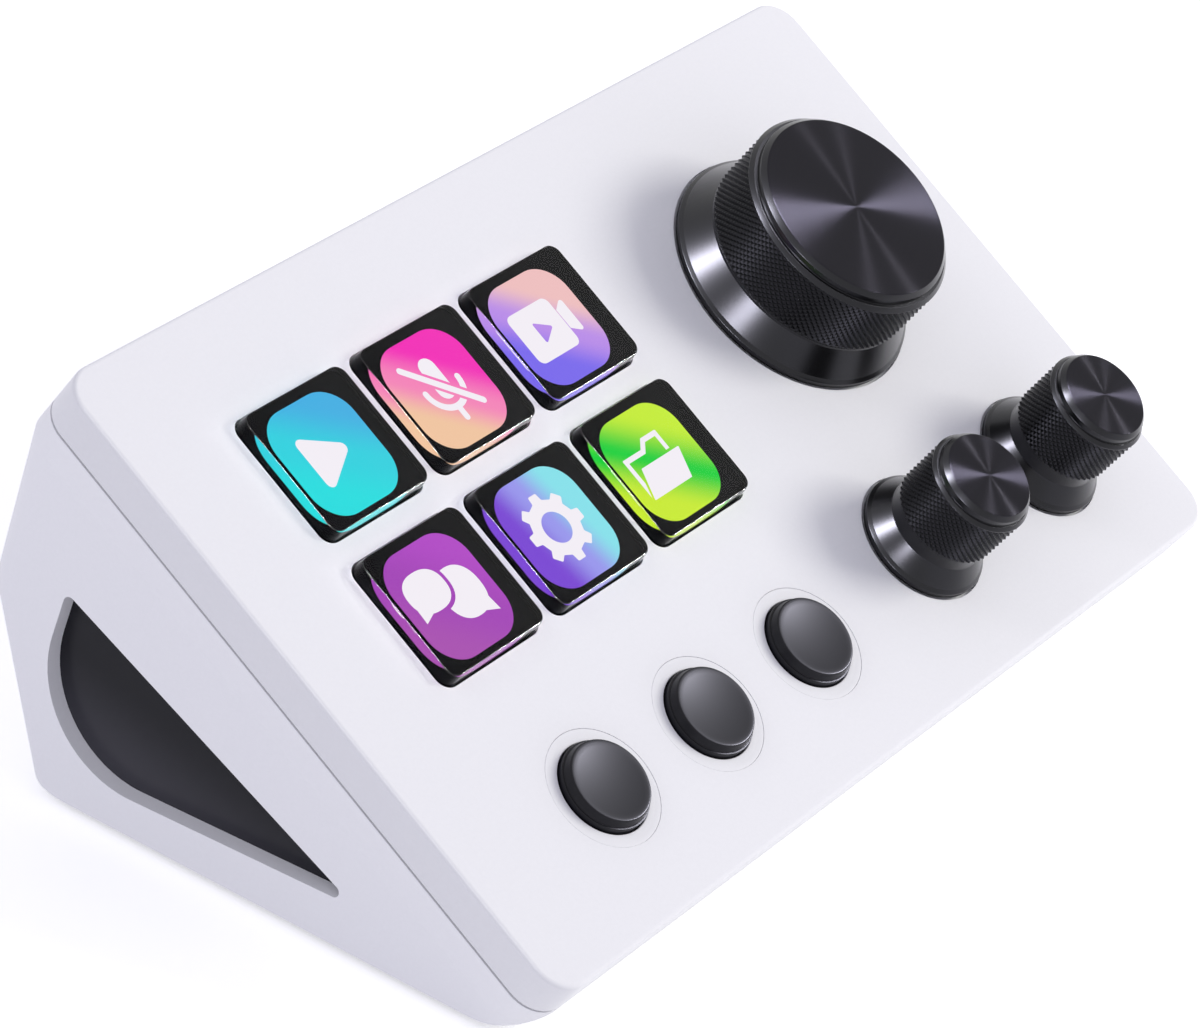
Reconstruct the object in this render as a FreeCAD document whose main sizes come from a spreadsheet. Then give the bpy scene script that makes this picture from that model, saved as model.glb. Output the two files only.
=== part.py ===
import FreeCAD, Part
import math
import os
import re
import Sketcher
from FreeCAD import Placement, Rotation, Vector

# A desk keypad: a wedge-shaped body whose sloping panel carries six lit display keys,
# three round buttons and three press-and-turn knobs.
#
# The part stands on its feet at z = 0, with x to the right, y to the back and the
# origin under the middle of its bounding box. Most pieces are drawn in the panel's own
# frame: x across, y up the slope from the front edge, z out of the panel, with zero on
# the panel's face, and are then tilted and lifted into place.

# Driving sizes, in millimetres and degrees. Depths count down from the panel's face,
# and heights count up from it, unless the name says otherwise.
SIZES = {
    # panel and cover
    "tilt": 30.0,
    "panel_width": 130.0,
    "panel_length": 80.0,
    "corner_radius": 4.0,
    "cover_plate": 2.0,
    "cover_wall": 2.0,
    "cover_depth": 5.0,
    "edge_round": 0.5,
    # lower housing, outside: places in the side view are measured from the panel's
    # front edge (out to the back) and from the housing's underside (up)
    "front_height": 7.7,
    "seam_gap": 0.3,
    "band_depth": 8.8,
    "side_flare": 4.0,
    "belly_out": 76.05,
    "belly_up": 21.8,
    "heel_out": 67.4,
    "heel_radius": 8.0,
    "heel_slack": 1.5,
    "toe_out": 6.7,
    "toe_slope": 34.0,
    "toe_radius": 13.0,
    # lower housing, inside
    "side_wall": 2.3,
    "back_wall": 2.6,
    "front_wall": 9.0,
    "floor": 3.0,
    "heel_wall": 4.2,
    "inner_radius": 0.6,
    "lip_wall": 1.2,
    "lip_gap": 0.15,
    # recess in each side, drawn on the side face in the side view's places
    "recess_top_margin": 10.7,
    "recess_top_up": 24.2,
    "recess_top_radius": 0.8,
    "recess_heel_margin": 1.45,
    "recess_heel_up": 3.7,
    "recess_heel_radius": 12.0,
    "recess_tip_out": 25.3,
    "recess_tip_up": 5.55,
    "recess_tip_radius": 0.7,
    "recess_side_share": 0.85,
    "inset_top_margin": 1.6,
    "inset_low_margin": 0.6,
    "inset_back_margin": 0.8,
    "inset_heel_radius": 14.0,
    "inset_thickness": 1.2,
    # base plate, feet and the screws that hold the plate
    "plate_front": 16.0,
    "plate_rear_margin": 8.4,
    "plate_side_margin": 7.0,
    "plate_corner": 4.0,
    "plate_thickness": 1.5,
    "plate_recess": 0.4,
    "plate_gap": 0.15,
    "ledge": 3.0,
    "foot_radius": 4.5,
    "foot_thickness": 1.0,
    "foot_side_inset": 13.0,
    "foot_front_inset": 6.5,
    "foot_rear_inset": 5.5,
    "base_screw_inset": 4.0,
    "base_boss_radius": 3.0,
    "base_boss_height": 1.9,
    # screws
    "screw_radius": 1.25,
    "screw_head_radius": 2.2,
    "screw_head_height": 1.2,
    "screw_length": 3.8,
    "screw_gap": 0.05,
    "socket_radius": 0.75,
    "socket_depth": 0.7,
    # cover posts and housing ears that take the cover screws
    "cover_screw_side": 6.6,
    "cover_screw_rear": 8.0,
    "cover_post_radius": 2.5,
    "ear_thickness": 2.4,
    "ear_width": 6.6,
    # main board and its posts
    "board_depth": 8.8,
    "board_thickness": 1.6,
    "board_side_margin": 9.5,
    "board_front_gap": 1.5,
    "encoder_front_gap": 0.5,
    "board_rear_gap": 0.58,
    "board_corner": 2.0,
    "board_screw_inset": 3.0,
    "board_screw_gap": 0.3,
    "board_post_radius": 2.1,
    "chip_height": 1.2,
    "chip_side": 9.0,
    "chip_x": -10.0,
    "chip_up": 28.0,
    "driver_length": 12.0,
    "driver_width": 6.0,
    "driver_x": 20.0,
    "driver_rear": 4.0,
    # display keys; a group's share is the place of its middle, as a share of the panel's
    # half width or of its length
    "key_side_share": -0.3569,
    "key_up_share": 0.6202,
    "key_pitch_x": 18.98,
    "key_pitch_up": 19.03,
    "key_width": 16.5,
    "key_length": 15.9,
    "key_radius": 1.5,
    "key_gap": 0.2,
    "key_height": 1.72,
    "key_draft": 8.0,
    "key_edge": 0.4,
    "key_base_depth": 0.5,
    "key_travel": 1.0,
    "key_flange": 0.6,
    "key_flange_thickness": 0.7,
    "display_rim": 0.7,
    "display_thickness": 1.2,
    "stop_gap": 0.05,
    "key_stem": 4.0,
    "key_stem_length": 3.6,
    "guide_gap": 0.1,
    "key_socket_side": 14.0,
    "key_socket_gap": 0.5,
    # round buttons
    "button_side_share": -0.3502,
    "button_up_share": 0.1859,
    "button_pitch": 18.96,
    "button_radius": 5.28,
    "button_collar": 0.6,
    "button_step": 0.18,
    "button_top_radius": 4.78,
    "button_height": 1.6,
    "button_edge": 0.25,
    "button_flange": 0.9,
    "button_flange_thickness": 0.8,
    "button_stem_radius": 2.0,
    "button_travel": 0.8,
    "ring_radius": 6.68,
    "ring_groove": 0.3,
    "ring_gap": 0.17,
    "ring_flange": 0.9,
    "ring_flange_thickness": 0.8,
    "switch_side": 6.0,
    "switch_height": 3.5,
    "plunger_radius": 1.7,
    "plunger_length": 2.6,
    "plunger_gap": 0.08,
    # knobs: the big one and two small ones
    "dial_travel": 0.4,
    "well_depth": 0.6,
    "well_gap": 0.25,
    "big_side_share": 0.5174,
    "big_up_share": 0.6295,
    "small_side_share": 0.5294,
    "small_up_share": 0.2141,
    "small_pitch": 25.0,
    "big_base_radius": 15.35,
    "big_foot": 0.7,
    "big_foot_radius": 14.95,
    "big_foot_top": 1.05,
    "big_waist_radius": 13.0,
    "big_waist": 4.1,
    "big_grip_start": 4.4,
    "big_grip_radius": 13.25,
    "big_grip_end": 11.95,
    "big_shoulder_radius": 12.75,
    "big_shoulder": 12.45,
    "big_neck_radius": 12.35,
    "big_rim": 13.15,
    "big_top_radius": 11.8,
    "big_height": 13.71,
    "big_cavity_radius": 9.0,
    "small_base_radius": 7.8,
    "small_foot": 0.7,
    "small_foot_radius": 7.42,
    "small_foot_top": 1.05,
    "small_waist_radius": 5.95,
    "small_waist": 3.0,
    "small_grip_start": 4.8,
    "small_grip_radius": 6.4,
    "small_grip_end": 11.5,
    "small_shoulder_radius": 6.0,
    "small_shoulder": 11.95,
    "small_neck_radius": 5.8,
    "small_rim": 12.67,
    "small_top_radius": 5.3,
    "small_height": 13.27,
    "small_cavity_radius": 4.1,
    "knob_roof": 4.2,
    "hub_radius": 4.2,
    "hub_end": 11.0,
    "hub_gap": 0.05,
    # rotary encoders under the knobs
    "encoder_side": 12.0,
    "encoder_gap": 0.05,
    "bushing_radius": 3.5,
    "bushing_gap": 0.1,
    "bushing_height": 3.1,
    "shaft_radius": 3.0,
    "shaft_gap": 0.05,
    "shaft_flat": 1.5,
    "shaft_end": 10.4,
    "shaft_foot": 6.0,
    "pin_radius": 1.0,
    "pin_length": 1.8,
    "nut_side": 5.0,
    "nut_height": 2.0,
    "washer_radius": 6.0,
    "washer_height": 0.5,
    # socket for the plug, at the back edge of the main board
    "port_width": 8.94,
    "port_height": 3.26,
    "port_wall": 0.3,
    "port_length": 7.3,
    "port_inset": 0.35,
    "port_gap": 0.25,
    "tongue_width": 6.7,
    "tongue_height": 0.7,
    "tongue_short": 1.2,
    "port_floor": 1.5,
    # how far a cut runs past the solid that it opens
    "overrun": 2.0,
}

# Sizes that follow from the driving ones, as formulas of the same sheet.
DERIVED = {
    "stand": "foot_thickness - plate_recess",
    "front_up": "front_height + stand",
    "edge_out": "edge_round * (cos(tilt) + sin(tilt) - 1)",
    "front_y": "-(belly_out + edge_out) / 2",
    "seam_depth": "cover_depth + seam_gap",
    "belly_slope": "belly_out * cos(tilt) + (belly_up - front_height) * sin(tilt)",
    "belly_depth": "belly_out * sin(tilt) - (belly_up - front_height) * cos(tilt)",
    "heel_slope": "heel_out * cos(tilt) - front_height * sin(tilt)",
    "heel_depth": "heel_out * sin(tilt) + front_height * cos(tilt)",
    "deep": "heel_depth + overrun",
    "heel_lean": "(belly_slope - heel_slope) / (heel_depth - belly_depth)",
    "deep_slope": "belly_slope - heel_lean * (deep - belly_depth)",
    "belly_half": "panel_width / 2 + (belly_depth - band_depth) * tan(side_flare)",
    "deep_half": "panel_width / 2 + (deep - band_depth) * tan(side_flare)",
    "lip_half": "panel_width / 2 - cover_wall - lip_gap",
    "lip_length": "panel_length - 2 * (cover_wall + lip_gap)",
    "seam_ledge": "seam_depth + ear_thickness",
    "recess_top_out": "belly_out - recess_top_margin",
    "recess_heel_out": "heel_out + recess_heel_margin",
    "recess_run": "recess_heel_out - recess_top_out",
    "recess_rise": "recess_top_up - recess_heel_up",
    "recess_side": "sqrt(recess_run ^ 2 + recess_rise ^ 2)",
    "tip_angle": "atan2(recess_tip_up - recess_heel_up; recess_heel_out - recess_tip_out)",
    "heel_half_angle": "(atan2(recess_rise; recess_run) - tip_angle) / 2",
    "heel_round_limit": "recess_side * recess_side_share * tan(heel_half_angle)",
    "recess_heel_round": "min(recess_heel_radius; heel_round_limit)",
    "inset_heel_round": "recess_heel_round + inset_heel_radius - recess_heel_radius",
    "plate_back": "heel_out - plate_rear_margin",
    "plate_width": "panel_width - 2 * plate_side_margin",
    "base_screw_spread": "plate_width - 2 * base_screw_inset",
    "foot_spread": "plate_width - 2 * foot_side_inset",
    "foot_front": "plate_front + foot_front_inset",
    "foot_back": "plate_back - foot_rear_inset",
    "cover_screw_spread": "panel_width - 2 * cover_screw_side",
    "cover_screw_back": "panel_length - cover_screw_rear",
    "key_first_x": "key_side_share * panel_width / 2 - key_pitch_x",
    "key_first_up": "key_up_share * panel_length - key_pitch_up / 2",
    "button_first_x": "button_side_share * panel_width / 2 - button_pitch",
    "button_up": "button_up_share * panel_length",
    "big_x": "big_side_share * panel_width / 2",
    "big_up": "big_up_share * panel_length",
    "small_first_x": "small_side_share * panel_width / 2 - small_pitch / 2",
    "small_up": "small_up_share * panel_length",
    "board_under": "board_depth + board_thickness",
    "board_width": "panel_width - 2 * board_side_margin",
    "front_inside": "min(front_wall; small_up - encoder_side / 2 - encoder_front_gap)",
    "board_front": "front_inside + board_front_gap",
    "back_lean": "(belly_slope - panel_length) / (belly_depth - band_depth)",
    "wall_lean": "back_lean - (heel_wall - back_wall) / (belly_depth - band_depth)",
    "lip_inside": "panel_length - cover_wall - lip_gap - lip_wall",
    "wall_at_board": "panel_length - back_wall + wall_lean * (board_under - band_depth)",
    "wall_at_head": "wall_at_board + wall_lean * screw_head_height",
    "board_back": "min(lip_inside; wall_at_board) - board_rear_gap",
    "driver_up": "board_back - driver_width - driver_rear",
    "board_screw_spread": "board_width - 2 * board_screw_inset",
    "past_encoder": "small_up + encoder_side / 2 + board_post_radius + board_screw_gap",
    "front_screw_row": "max((button_up + key_first_up) / 2; past_encoder)",
    "post_limit": "lip_inside - board_post_radius",
    "head_limit": "wall_at_head - screw_head_radius",
    "board_screw_back": "min(post_limit; head_limit) - board_screw_gap",
    "display_bottom": "key_base_depth + display_thickness",
    "flange_top": "cover_plate + stop_gap",
    "flange_bottom": "flange_top + key_flange_thickness",
    "key_socket_top": "flange_bottom + key_travel + key_socket_gap",
    "ring_bottom": "cover_plate + ring_flange_thickness",
    "button_flange_top": "ring_bottom + stop_gap",
    "button_flange_bottom": "button_flange_top + button_flange_thickness",
    "switch_top": "board_depth - switch_height",
    "plunger_top": "switch_top - button_travel - stop_gap",
    "encoder_top": "cover_plate + encoder_gap",
    "pin_top": "shaft_foot + stop_gap",
    "port_middle": "board_under + port_height / 2",
    "port_mouth": "panel_length + back_lean * (port_middle - band_depth) - port_inset",
}

doc = FreeCAD.newDocument("keypad")
sheet = doc.addObject("Spreadsheet::Sheet", "Sizes")
nodes = []


def fill_sheet():
    """Writes every size into the sheet, one row each, with its name as the alias."""
    rows = [(name, str(value)) for name, value in SIZES.items()]
    rows += [(name, "=" + formula) for name, formula in DERIVED.items()]
    for row, (name, content) in enumerate(rows, start=1):
        sheet.set(f"A{row}", name)
        sheet.set(f"B{row}", content)
        sheet.setAlias(f"B{row}", name)
    doc.recompute()


fill_sheet()
NAMES = re.compile(r"\b(" + "|".join(list(SIZES) + list(DERIVED)) + r")\b")


def bound(formula):
    """Turns a formula of size names into an expression that refers to the sheet."""
    return NAMES.sub(r"Sizes.\1", formula)


def value(formula):
    """The formula's value now."""
    return float(sheet.evalExpression(bound(formula)))


def bind(thing, **formulas):
    """Ties properties of an object to formulas of the sheet."""
    for name, formula in formulas.items():
        thing.setExpression(name, bound(formula))


def place(thing, x="0", y="0", z="0", angle="0", axis=Vector(1, 0, 0)):
    """Puts an object at x, y, z, turned by angle about axis."""
    thing.Placement = Placement(Vector(0, 0, 0), Rotation(axis, 1))
    thing.setExpression("Placement.Rotation.Angle", bound(angle))
    thing.setExpression("Placement.Base.x", bound(x))
    thing.setExpression("Placement.Base.y", bound(y))
    thing.setExpression("Placement.Base.z", bound(z))


def on_panel(thing, x="0", up="0"):
    """Stands an object on the panel's face, x across and up the slope."""
    place(thing, x, f"front_y + ({up}) * cos(tilt)", f"front_up + ({up}) * sin(tilt)", "tilt")


def node(thing, label):
    """Names a finished sub-part and lists it for writing."""
    thing.Label = label
    nodes.append(thing)
    return thing


def body(name):
    return doc.addObject("PartDesign::Body", name)


def sketch(owner, plane="XY_Plane", level="0"):
    """A sketch on one of the body's own planes, or level above it."""
    drawing = owner.newObject("Sketcher::SketchObject", "Sketch")
    planes = {feature.Role: feature for feature in owner.Origin.OriginFeatures}
    drawing.AttachmentSupport = [(planes[plane], "")]
    drawing.MapMode = "FlatFace"
    drawing.setExpression("AttachmentOffset.Base.z", bound(level))
    return drawing


def side_sketch(owner):
    """A sketch in the side view: x out to the back and y up from the housing's underside."""
    drawing = sketch(owner, "YZ_Plane")
    drawing.AttachmentOffset = Placement(Vector(0, 0, 0), Rotation(Vector(0, 0, 1), -1))
    drawing.setExpression("AttachmentOffset.Rotation.Angle", bound("-tilt"))
    drawing.setExpression("AttachmentOffset.Base.x", bound("-front_height * sin(tilt)"))
    drawing.setExpression("AttachmentOffset.Base.y", bound("-front_height * cos(tilt)"))
    return drawing


def dimension(drawing, kind, *where, formula):
    """Adds one dimension to a sketch and ties it to the sheet."""
    index = drawing.addConstraint(Sketcher.Constraint(kind, *where, value(formula)))
    drawing.setExpression(f"Constraints[{index}]", bound(formula))


def pin_point(drawing, geometry, end, x, y):
    """Fixes one point of a sketch at x, y."""
    for kind, axis, formula in (("DistanceX", -2, x), ("DistanceY", -1, y)):
        if formula == "0":
            drawing.addConstraint(Sketcher.Constraint("PointOnObject", geometry, end, axis))
        else:
            dimension(drawing, kind, -1, 1, geometry, end, formula=formula)


def outline(drawing, corners):
    """Draws a closed line through corners (x, y, radius); a radius of "0" is a sharp corner."""
    points = [Vector(value(x), value(y), 0) for x, y, radius in corners]
    radii = [value(radius) for x, y, radius in corners]
    count = len(points)
    starts, ends, centres = [], [], []
    for i in range(count):
        to_last = (points[i - 1] - points[i]).normalize()
        to_next = (points[(i + 1) % count] - points[i]).normalize()
        half = to_last.getAngle(to_next) / 2
        reach = radii[i] / math.tan(half)
        ends.append(points[i] + to_last * reach)
        starts.append(points[i] + to_next * reach)
        centres.append(points[i] + (to_last + to_next).normalize() * (radii[i] / math.sin(half)))
    lines = []
    for i in range(count):
        segment = Part.LineSegment(starts[i], ends[(i + 1) % count])
        lines.append(drawing.addGeometry(segment, False))
    for i, (x, y, radius) in enumerate(corners):
        before, after = lines[i - 1], lines[i]
        if radii[i] == 0:
            drawing.addConstraint(Sketcher.Constraint("Coincident", before, 2, after, 1))
            pin_point(drawing, after, 1, x, y)
            continue
        round_corner(drawing, before, after, ends[i], starts[i], centres[i], radius)
        mark = drawing.addGeometry(Part.Point(points[i]), True)
        drawing.addConstraint(Sketcher.Constraint("PointOnObject", mark, 1, before))
        drawing.addConstraint(Sketcher.Constraint("PointOnObject", mark, 1, after))
        pin_point(drawing, mark, 1, x, y)


def round_corner(drawing, before, after, end, start, centre, radius):
    """Joins two lines of a sketch with an arc that is tangent to both."""
    first = math.atan2(end.y - centre.y, end.x - centre.x)
    last = math.atan2(start.y - centre.y, start.x - centre.x)
    leftward = (end - centre).cross(start - centre).z > 0
    if not leftward:
        first, last = last, first
    circle = Part.Circle(centre, Vector(0, 0, 1), value(radius))
    arc = drawing.addGeometry(Part.ArcOfCircle(circle, first, last), False)
    meets_before, meets_after = (1, 2) if leftward else (2, 1)
    drawing.addConstraint(Sketcher.Constraint("Tangent", before, 2, arc, meets_before))
    drawing.addConstraint(Sketcher.Constraint("Tangent", arc, meets_after, after, 1))
    dimension(drawing, "Radius", arc, formula=radius)


def rectangle(drawing, width, length, radius="0", x="0", y="0"):
    """Draws a rectangle centred on x, y, with rounded corners."""
    left, right = f"({x}) - ({width}) / 2", f"({x}) + ({width}) / 2"
    low, high = f"({y}) - ({length}) / 2", f"({y}) + ({length}) / 2"
    outline(drawing, [(left, low, radius), (right, low, radius), (right, high, radius), (left, high, radius)])


def circle(drawing, radius, x="0", y="0"):
    shape = Part.Circle(Vector(value(x), value(y), 0), Vector(0, 0, 1), value(radius))
    index = drawing.addGeometry(shape, False)
    dimension(drawing, "Radius", index, formula=radius)
    pin_point(drawing, index, 3, x, y)


def pad(owner, drawing, length, down=False, both=False, draft=None):
    """Grows a body from a sketch, by length along the sketch's normal."""
    feature = owner.newObject("PartDesign::Pad", "Pad")
    feature.Profile = drawing
    feature.Reversed = down
    feature.SideType = "Symmetric" if both else "One side"
    bind(feature, Length=length)
    if draft:
        bind(feature, TaperAngle=draft)
    doc.recompute()
    return feature


def pocket(owner, drawing, depth, up=False, both=False):
    """Cuts a body from a sketch, by depth against the sketch's normal, and checks that it cut."""
    before = owner.Shape.Volume
    feature = owner.newObject("PartDesign::Pocket", "Pocket")
    feature.Profile = drawing
    feature.Reversed = up
    feature.SideType = "Symmetric" if both else "One side"
    bind(feature, Length=depth)
    doc.recompute()
    if not owner.Shape.Volume < before:
        raise ValueError(f"{owner.Label}: {feature.Name} cuts nothing")
    return feature


def turned(owner, profile):
    """Turns an outline of (radius, height) corners about the body's own z axis."""
    drawing = sketch(owner, "XZ_Plane")
    outline(drawing, profile)
    feature = owner.newObject("PartDesign::Revolution", "Revolution")
    feature.Profile = drawing
    feature.ReferenceAxis = (drawing, ["V_Axis"])
    doc.recompute()
    return feature


def round_edges(owner, wanted, radius):
    """Rounds the edges of a body that wanted(edge) picks."""
    base = owner.Tip
    names = [f"Edge{i}" for i, edge in enumerate(base.Shape.Edges, start=1) if wanted(edge)]
    feature = owner.newObject("PartDesign::Fillet", "Fillet")
    feature.Base = (base, names)
    bind(feature, Radius=radius)
    doc.recompute()
    return feature


def loft(owner, kind, sections):
    """Joins rounded rectangles (depth, half width, front, back, radius) with straight sides."""
    drawings = []
    for depth, half, front, back, radius in sections:
        drawing = sketch(owner, level=f"-({depth})")
        rectangle(drawing, f"2 * ({half})", f"({back}) - ({front})", radius, y=f"(({back}) + ({front})) / 2")
        drawings.append(drawing)
    doc.recompute()
    feature = owner.newObject(kind, "Loft")
    feature.Profile = drawings[0]
    feature.Sections = drawings[1:]
    feature.Ruled = True
    doc.recompute()
    return feature


def block(name, size, at):
    """A box of size (x, y, z) whose lowest corner is at."""
    shape = doc.addObject("Part::Box", name)
    bind(shape, Length=size[0], Width=size[1], Height=size[2])
    place(shape, *at)
    return shape


def rod(name, radius, height, at):
    """An upright cylinder that stands at."""
    shape = doc.addObject("Part::Cylinder", name)
    bind(shape, Radius=radius, Height=height)
    place(shape, *at)
    return shape


def cone(name, low, high, height, at):
    shape = doc.addObject("Part::Cone", name)
    bind(shape, Radius1=low, Radius2=high, Height=height)
    place(shape, *at)
    return shape


def fuse(name, shapes):
    joined = doc.addObject("Part::MultiFuse", name)
    joined.Shapes = shapes
    return joined


def cut(name, base, tool):
    rest = doc.addObject("Part::Cut", name)
    rest.Base = base
    rest.Tool = tool
    return rest


def group(name, shapes):
    """Several separate solids that share one node."""
    whole = doc.addObject("Part::Compound", name)
    whole.Links = shapes
    return whole


def key_places():
    """Name, x and slope place of each display key, front row first."""
    for row in range(2):
        for column in range(3):
            x = f"key_first_x + {column} * key_pitch_x"
            yield f"{row * 3 + column + 1}", x, f"key_first_up + {row} * key_pitch_up"


def button_places():
    for column in range(3):
        yield f"{column + 1}", f"button_first_x + {column} * button_pitch", "button_up"


def dial_places():
    """Name, family, x and slope place of each knob."""
    yield "big", "big", "big_x", "big_up"
    yield "left", "small", "small_first_x", "small_up"
    yield "right", "small", "small_first_x + small_pitch", "small_up"


def corner_places(spread, front, back):
    """Four places in a rectangle that is centred across."""
    return [(f"{side} * ({spread}) / 2", up) for side in (-1, 1) for up in (front, back)]


def cover_screw_places():
    return corner_places("cover_screw_spread", "front_screw_row", "cover_screw_back")


def board_screw_places():
    return corner_places("board_screw_spread", "front_screw_row", "board_screw_back")


def make_top_cover():
    """The lid: a plate with a skirt, its openings, and the posts for the board and the screws."""
    lid = body("Cover")
    drawing = sketch(lid)
    rectangle(drawing, "panel_width", "panel_length", "corner_radius", y="panel_length / 2")
    pad(lid, drawing, "cover_depth", down=True)
    inside = sketch(lid, level="-cover_plate")
    rectangle(inside, "panel_width - 2 * cover_wall", "panel_length - 2 * cover_wall",
              "corner_radius - cover_wall", y="panel_length / 2")
    pocket(lid, inside, "cover_depth")
    posts = sketch(lid, level="-cover_plate")
    for x, up in cover_screw_places():
        circle(posts, "cover_post_radius", x, up)
    pad(lid, posts, "cover_depth - cover_plate", down=True)
    legs = sketch(lid, level="-cover_plate")
    for x, up in board_screw_places():
        circle(legs, "board_post_radius", x, up)
    pad(lid, legs, "board_depth - cover_plate", down=True)
    cut_cover_openings(lid)
    round_edges(lid, is_rim_edge, "edge_round")
    on_panel(lid)
    node(lid, "top_cover")


def cut_cover_openings(lid):
    """Windows for the keys, holes for the buttons, wells for the knobs, and blind screw holes."""
    windows = sketch(lid)
    for name, x, up in key_places():
        rectangle(windows, "key_width + 2 * key_gap", "key_length + 2 * key_gap",
                  "key_radius + key_gap", x, up)
    for name, x, up in button_places():
        circle(windows, "ring_radius + ring_groove", x, up)
    for name, family, x, up in dial_places():
        circle(windows, "bushing_radius + bushing_gap", x, up)
    pocket(lid, windows, "cover_plate + overrun")
    wells = sketch(lid)
    for name, family, x, up in dial_places():
        circle(wells, f"{family}_base_radius + well_gap", x, up)
    pocket(lid, wells, "well_depth")
    threads = sketch(lid, level="-cover_depth - overrun")
    for x, up in cover_screw_places():
        circle(threads, "screw_radius + screw_gap", x, up)
    pocket(lid, threads, "cover_depth + overrun - cover_plate", up=True)
    taps = sketch(lid, level="-board_depth - overrun")
    for x, up in board_screw_places():
        circle(taps, "screw_radius + screw_gap", x, up)
    pocket(lid, taps, "board_depth + overrun - cover_plate", up=True)


def is_rim_edge(edge):
    """An edge of the cover's outer outline, on the panel's face."""
    box = edge.BoundBox
    flat = max(abs(box.ZMin), abs(box.ZMax)) < value("edge_round") / 10
    past_side = max(abs(box.XMin), abs(box.XMax)) > value("panel_width / 2 - corner_radius - edge_round")
    past_end = box.YMin < value("edge_round") or box.YMax > value("panel_length - edge_round")
    return flat and (past_side or past_end)


def make_lower_housing():
    """The wedge below the seam: a flared shell with a floor, a lip, ears, bosses and openings."""
    shell = body("Housing")
    loft(shell, "PartDesign::AdditiveLoft", [
        ("seam_depth", "panel_width / 2", "0", "panel_length", "corner_radius"),
        ("band_depth", "panel_width / 2", "0", "panel_length", "corner_radius"),
        ("belly_depth", "belly_half", "0", "belly_slope", "corner_radius"),
        ("deep", "deep_half", "0", "deep_slope", "corner_radius"),
    ])
    under = side_sketch(shell)
    outline(under, ground_line())
    pocket(shell, under, "4 * panel_width", both=True)
    core = make_housing_core()
    hollow = shell.newObject("PartDesign::Boolean", "Hollow")
    hollow.setObjects([core])
    hollow.Type = 1
    doc.recompute()
    add_lip(shell)
    add_ears(shell)
    cut_base_opening(shell)
    cut_side_windows(shell)
    cut_port_slot(shell)
    on_panel(shell)
    node(shell, "lower_housing")


def ground_line():
    """The outline of what lies under the wedge in the side view: toe curve, base and heel curve."""
    return [
        ("-toe_out", "2 * toe_out * tan(toe_slope)", "0"),
        ("toe_out", "0", "toe_radius"),
        ("heel_out", "0", "heel_radius"),
        ("belly_out + heel_slack", "belly_up", "0"),
        ("2 * belly_out", "belly_up", "0"),
        ("2 * belly_out", "-belly_out", "0"),
        ("-toe_out", "-belly_out", "0"),
    ]


def make_housing_core():
    """The space inside the housing, as a solid to take away from it."""
    core = body("Core")
    half = "panel_width / 2 - side_wall"
    loft(core, "PartDesign::AdditiveLoft", [
        ("seam_depth - overrun", half, "front_inside", "panel_length - back_wall", "inner_radius"),
        ("band_depth", half, "front_inside", "panel_length - back_wall", "inner_radius"),
        ("belly_depth", "belly_half - side_wall", "front_inside", "belly_slope - heel_wall", "inner_radius"),
        ("deep", "deep_half - side_wall", "front_inside", "deep_slope - heel_wall", "inner_radius"),
    ])
    under = side_sketch(core)
    outline(under, [
        ("0", "floor", "0"),
        ("heel_out - back_wall", "floor", "heel_radius / 2"),
        ("belly_out + heel_slack", "floor + belly_up", "0"),
        ("2 * belly_out", "floor + belly_up", "0"),
        ("2 * belly_out", "-belly_out", "0"),
        ("0", "-belly_out", "0"),
    ])
    pocket(core, under, "4 * panel_width", both=True)
    return core


def add_lip(shell):
    """A ledge round the seam, and on it a thin lip just inside the cover's skirt."""
    middle = "panel_length / 2"
    ledge = sketch(shell, level="-seam_ledge")
    rectangle(ledge, "panel_width - side_wall", "panel_length - back_wall", "corner_radius - side_wall / 2",
              y=middle)
    rectangle(ledge, "2 * (lip_half - lip_wall)", "lip_length - 2 * lip_wall", "inner_radius", y=middle)
    pad(shell, ledge, "ear_thickness")
    lip = sketch(shell, level="-seam_ledge")
    rectangle(lip, "2 * lip_half", "lip_length", "corner_radius - cover_wall", y=middle)
    rectangle(lip, "2 * (lip_half - lip_wall)", "lip_length - 2 * lip_wall", "inner_radius", y=middle)
    pad(shell, lip, "seam_ledge - cover_plate")


def add_ears(shell):
    """Four ears under the ledge's edge that the cover screws pass through, and their holes."""
    ears = sketch(shell, level="-seam_ledge")
    for x, up in cover_screw_places():
        side = "1" if x.startswith("1") else "-1"
        middle = f"{side} * (cover_screw_spread / 2 - ear_width / 2 + lip_half) / 2"
        rectangle(ears, "lip_half - cover_screw_spread / 2 + ear_width / 2", "ear_width", "0", middle, up)
    pad(shell, ears, "ear_thickness")
    holes = sketch(shell, level="-seam_depth + overrun / 2")
    for x, up in cover_screw_places():
        circle(holes, "screw_radius + screw_gap", x, up)
    pocket(shell, holes, "ear_thickness + overrun")


def base_sketch(owner, level):
    """A sketch in the ground plane, level above the housing's underside, with y out to the back."""
    drawing = sketch(owner)
    drawing.AttachmentOffset = Placement(Vector(0, 0, 0), Rotation(Vector(1, 0, 0), -1))
    drop = f"({level} - front_height)"
    drawing.setExpression("AttachmentOffset.Rotation.Angle", bound("-tilt"))
    drawing.setExpression("AttachmentOffset.Base.y", bound(f"{drop} * sin(tilt)"))
    drawing.setExpression("AttachmentOffset.Base.z", bound(f"{drop} * cos(tilt)"))
    return drawing


def base_screw_places():
    return corner_places("base_screw_spread", "plate_front + base_screw_inset",
                         "plate_back - base_screw_inset")


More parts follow.
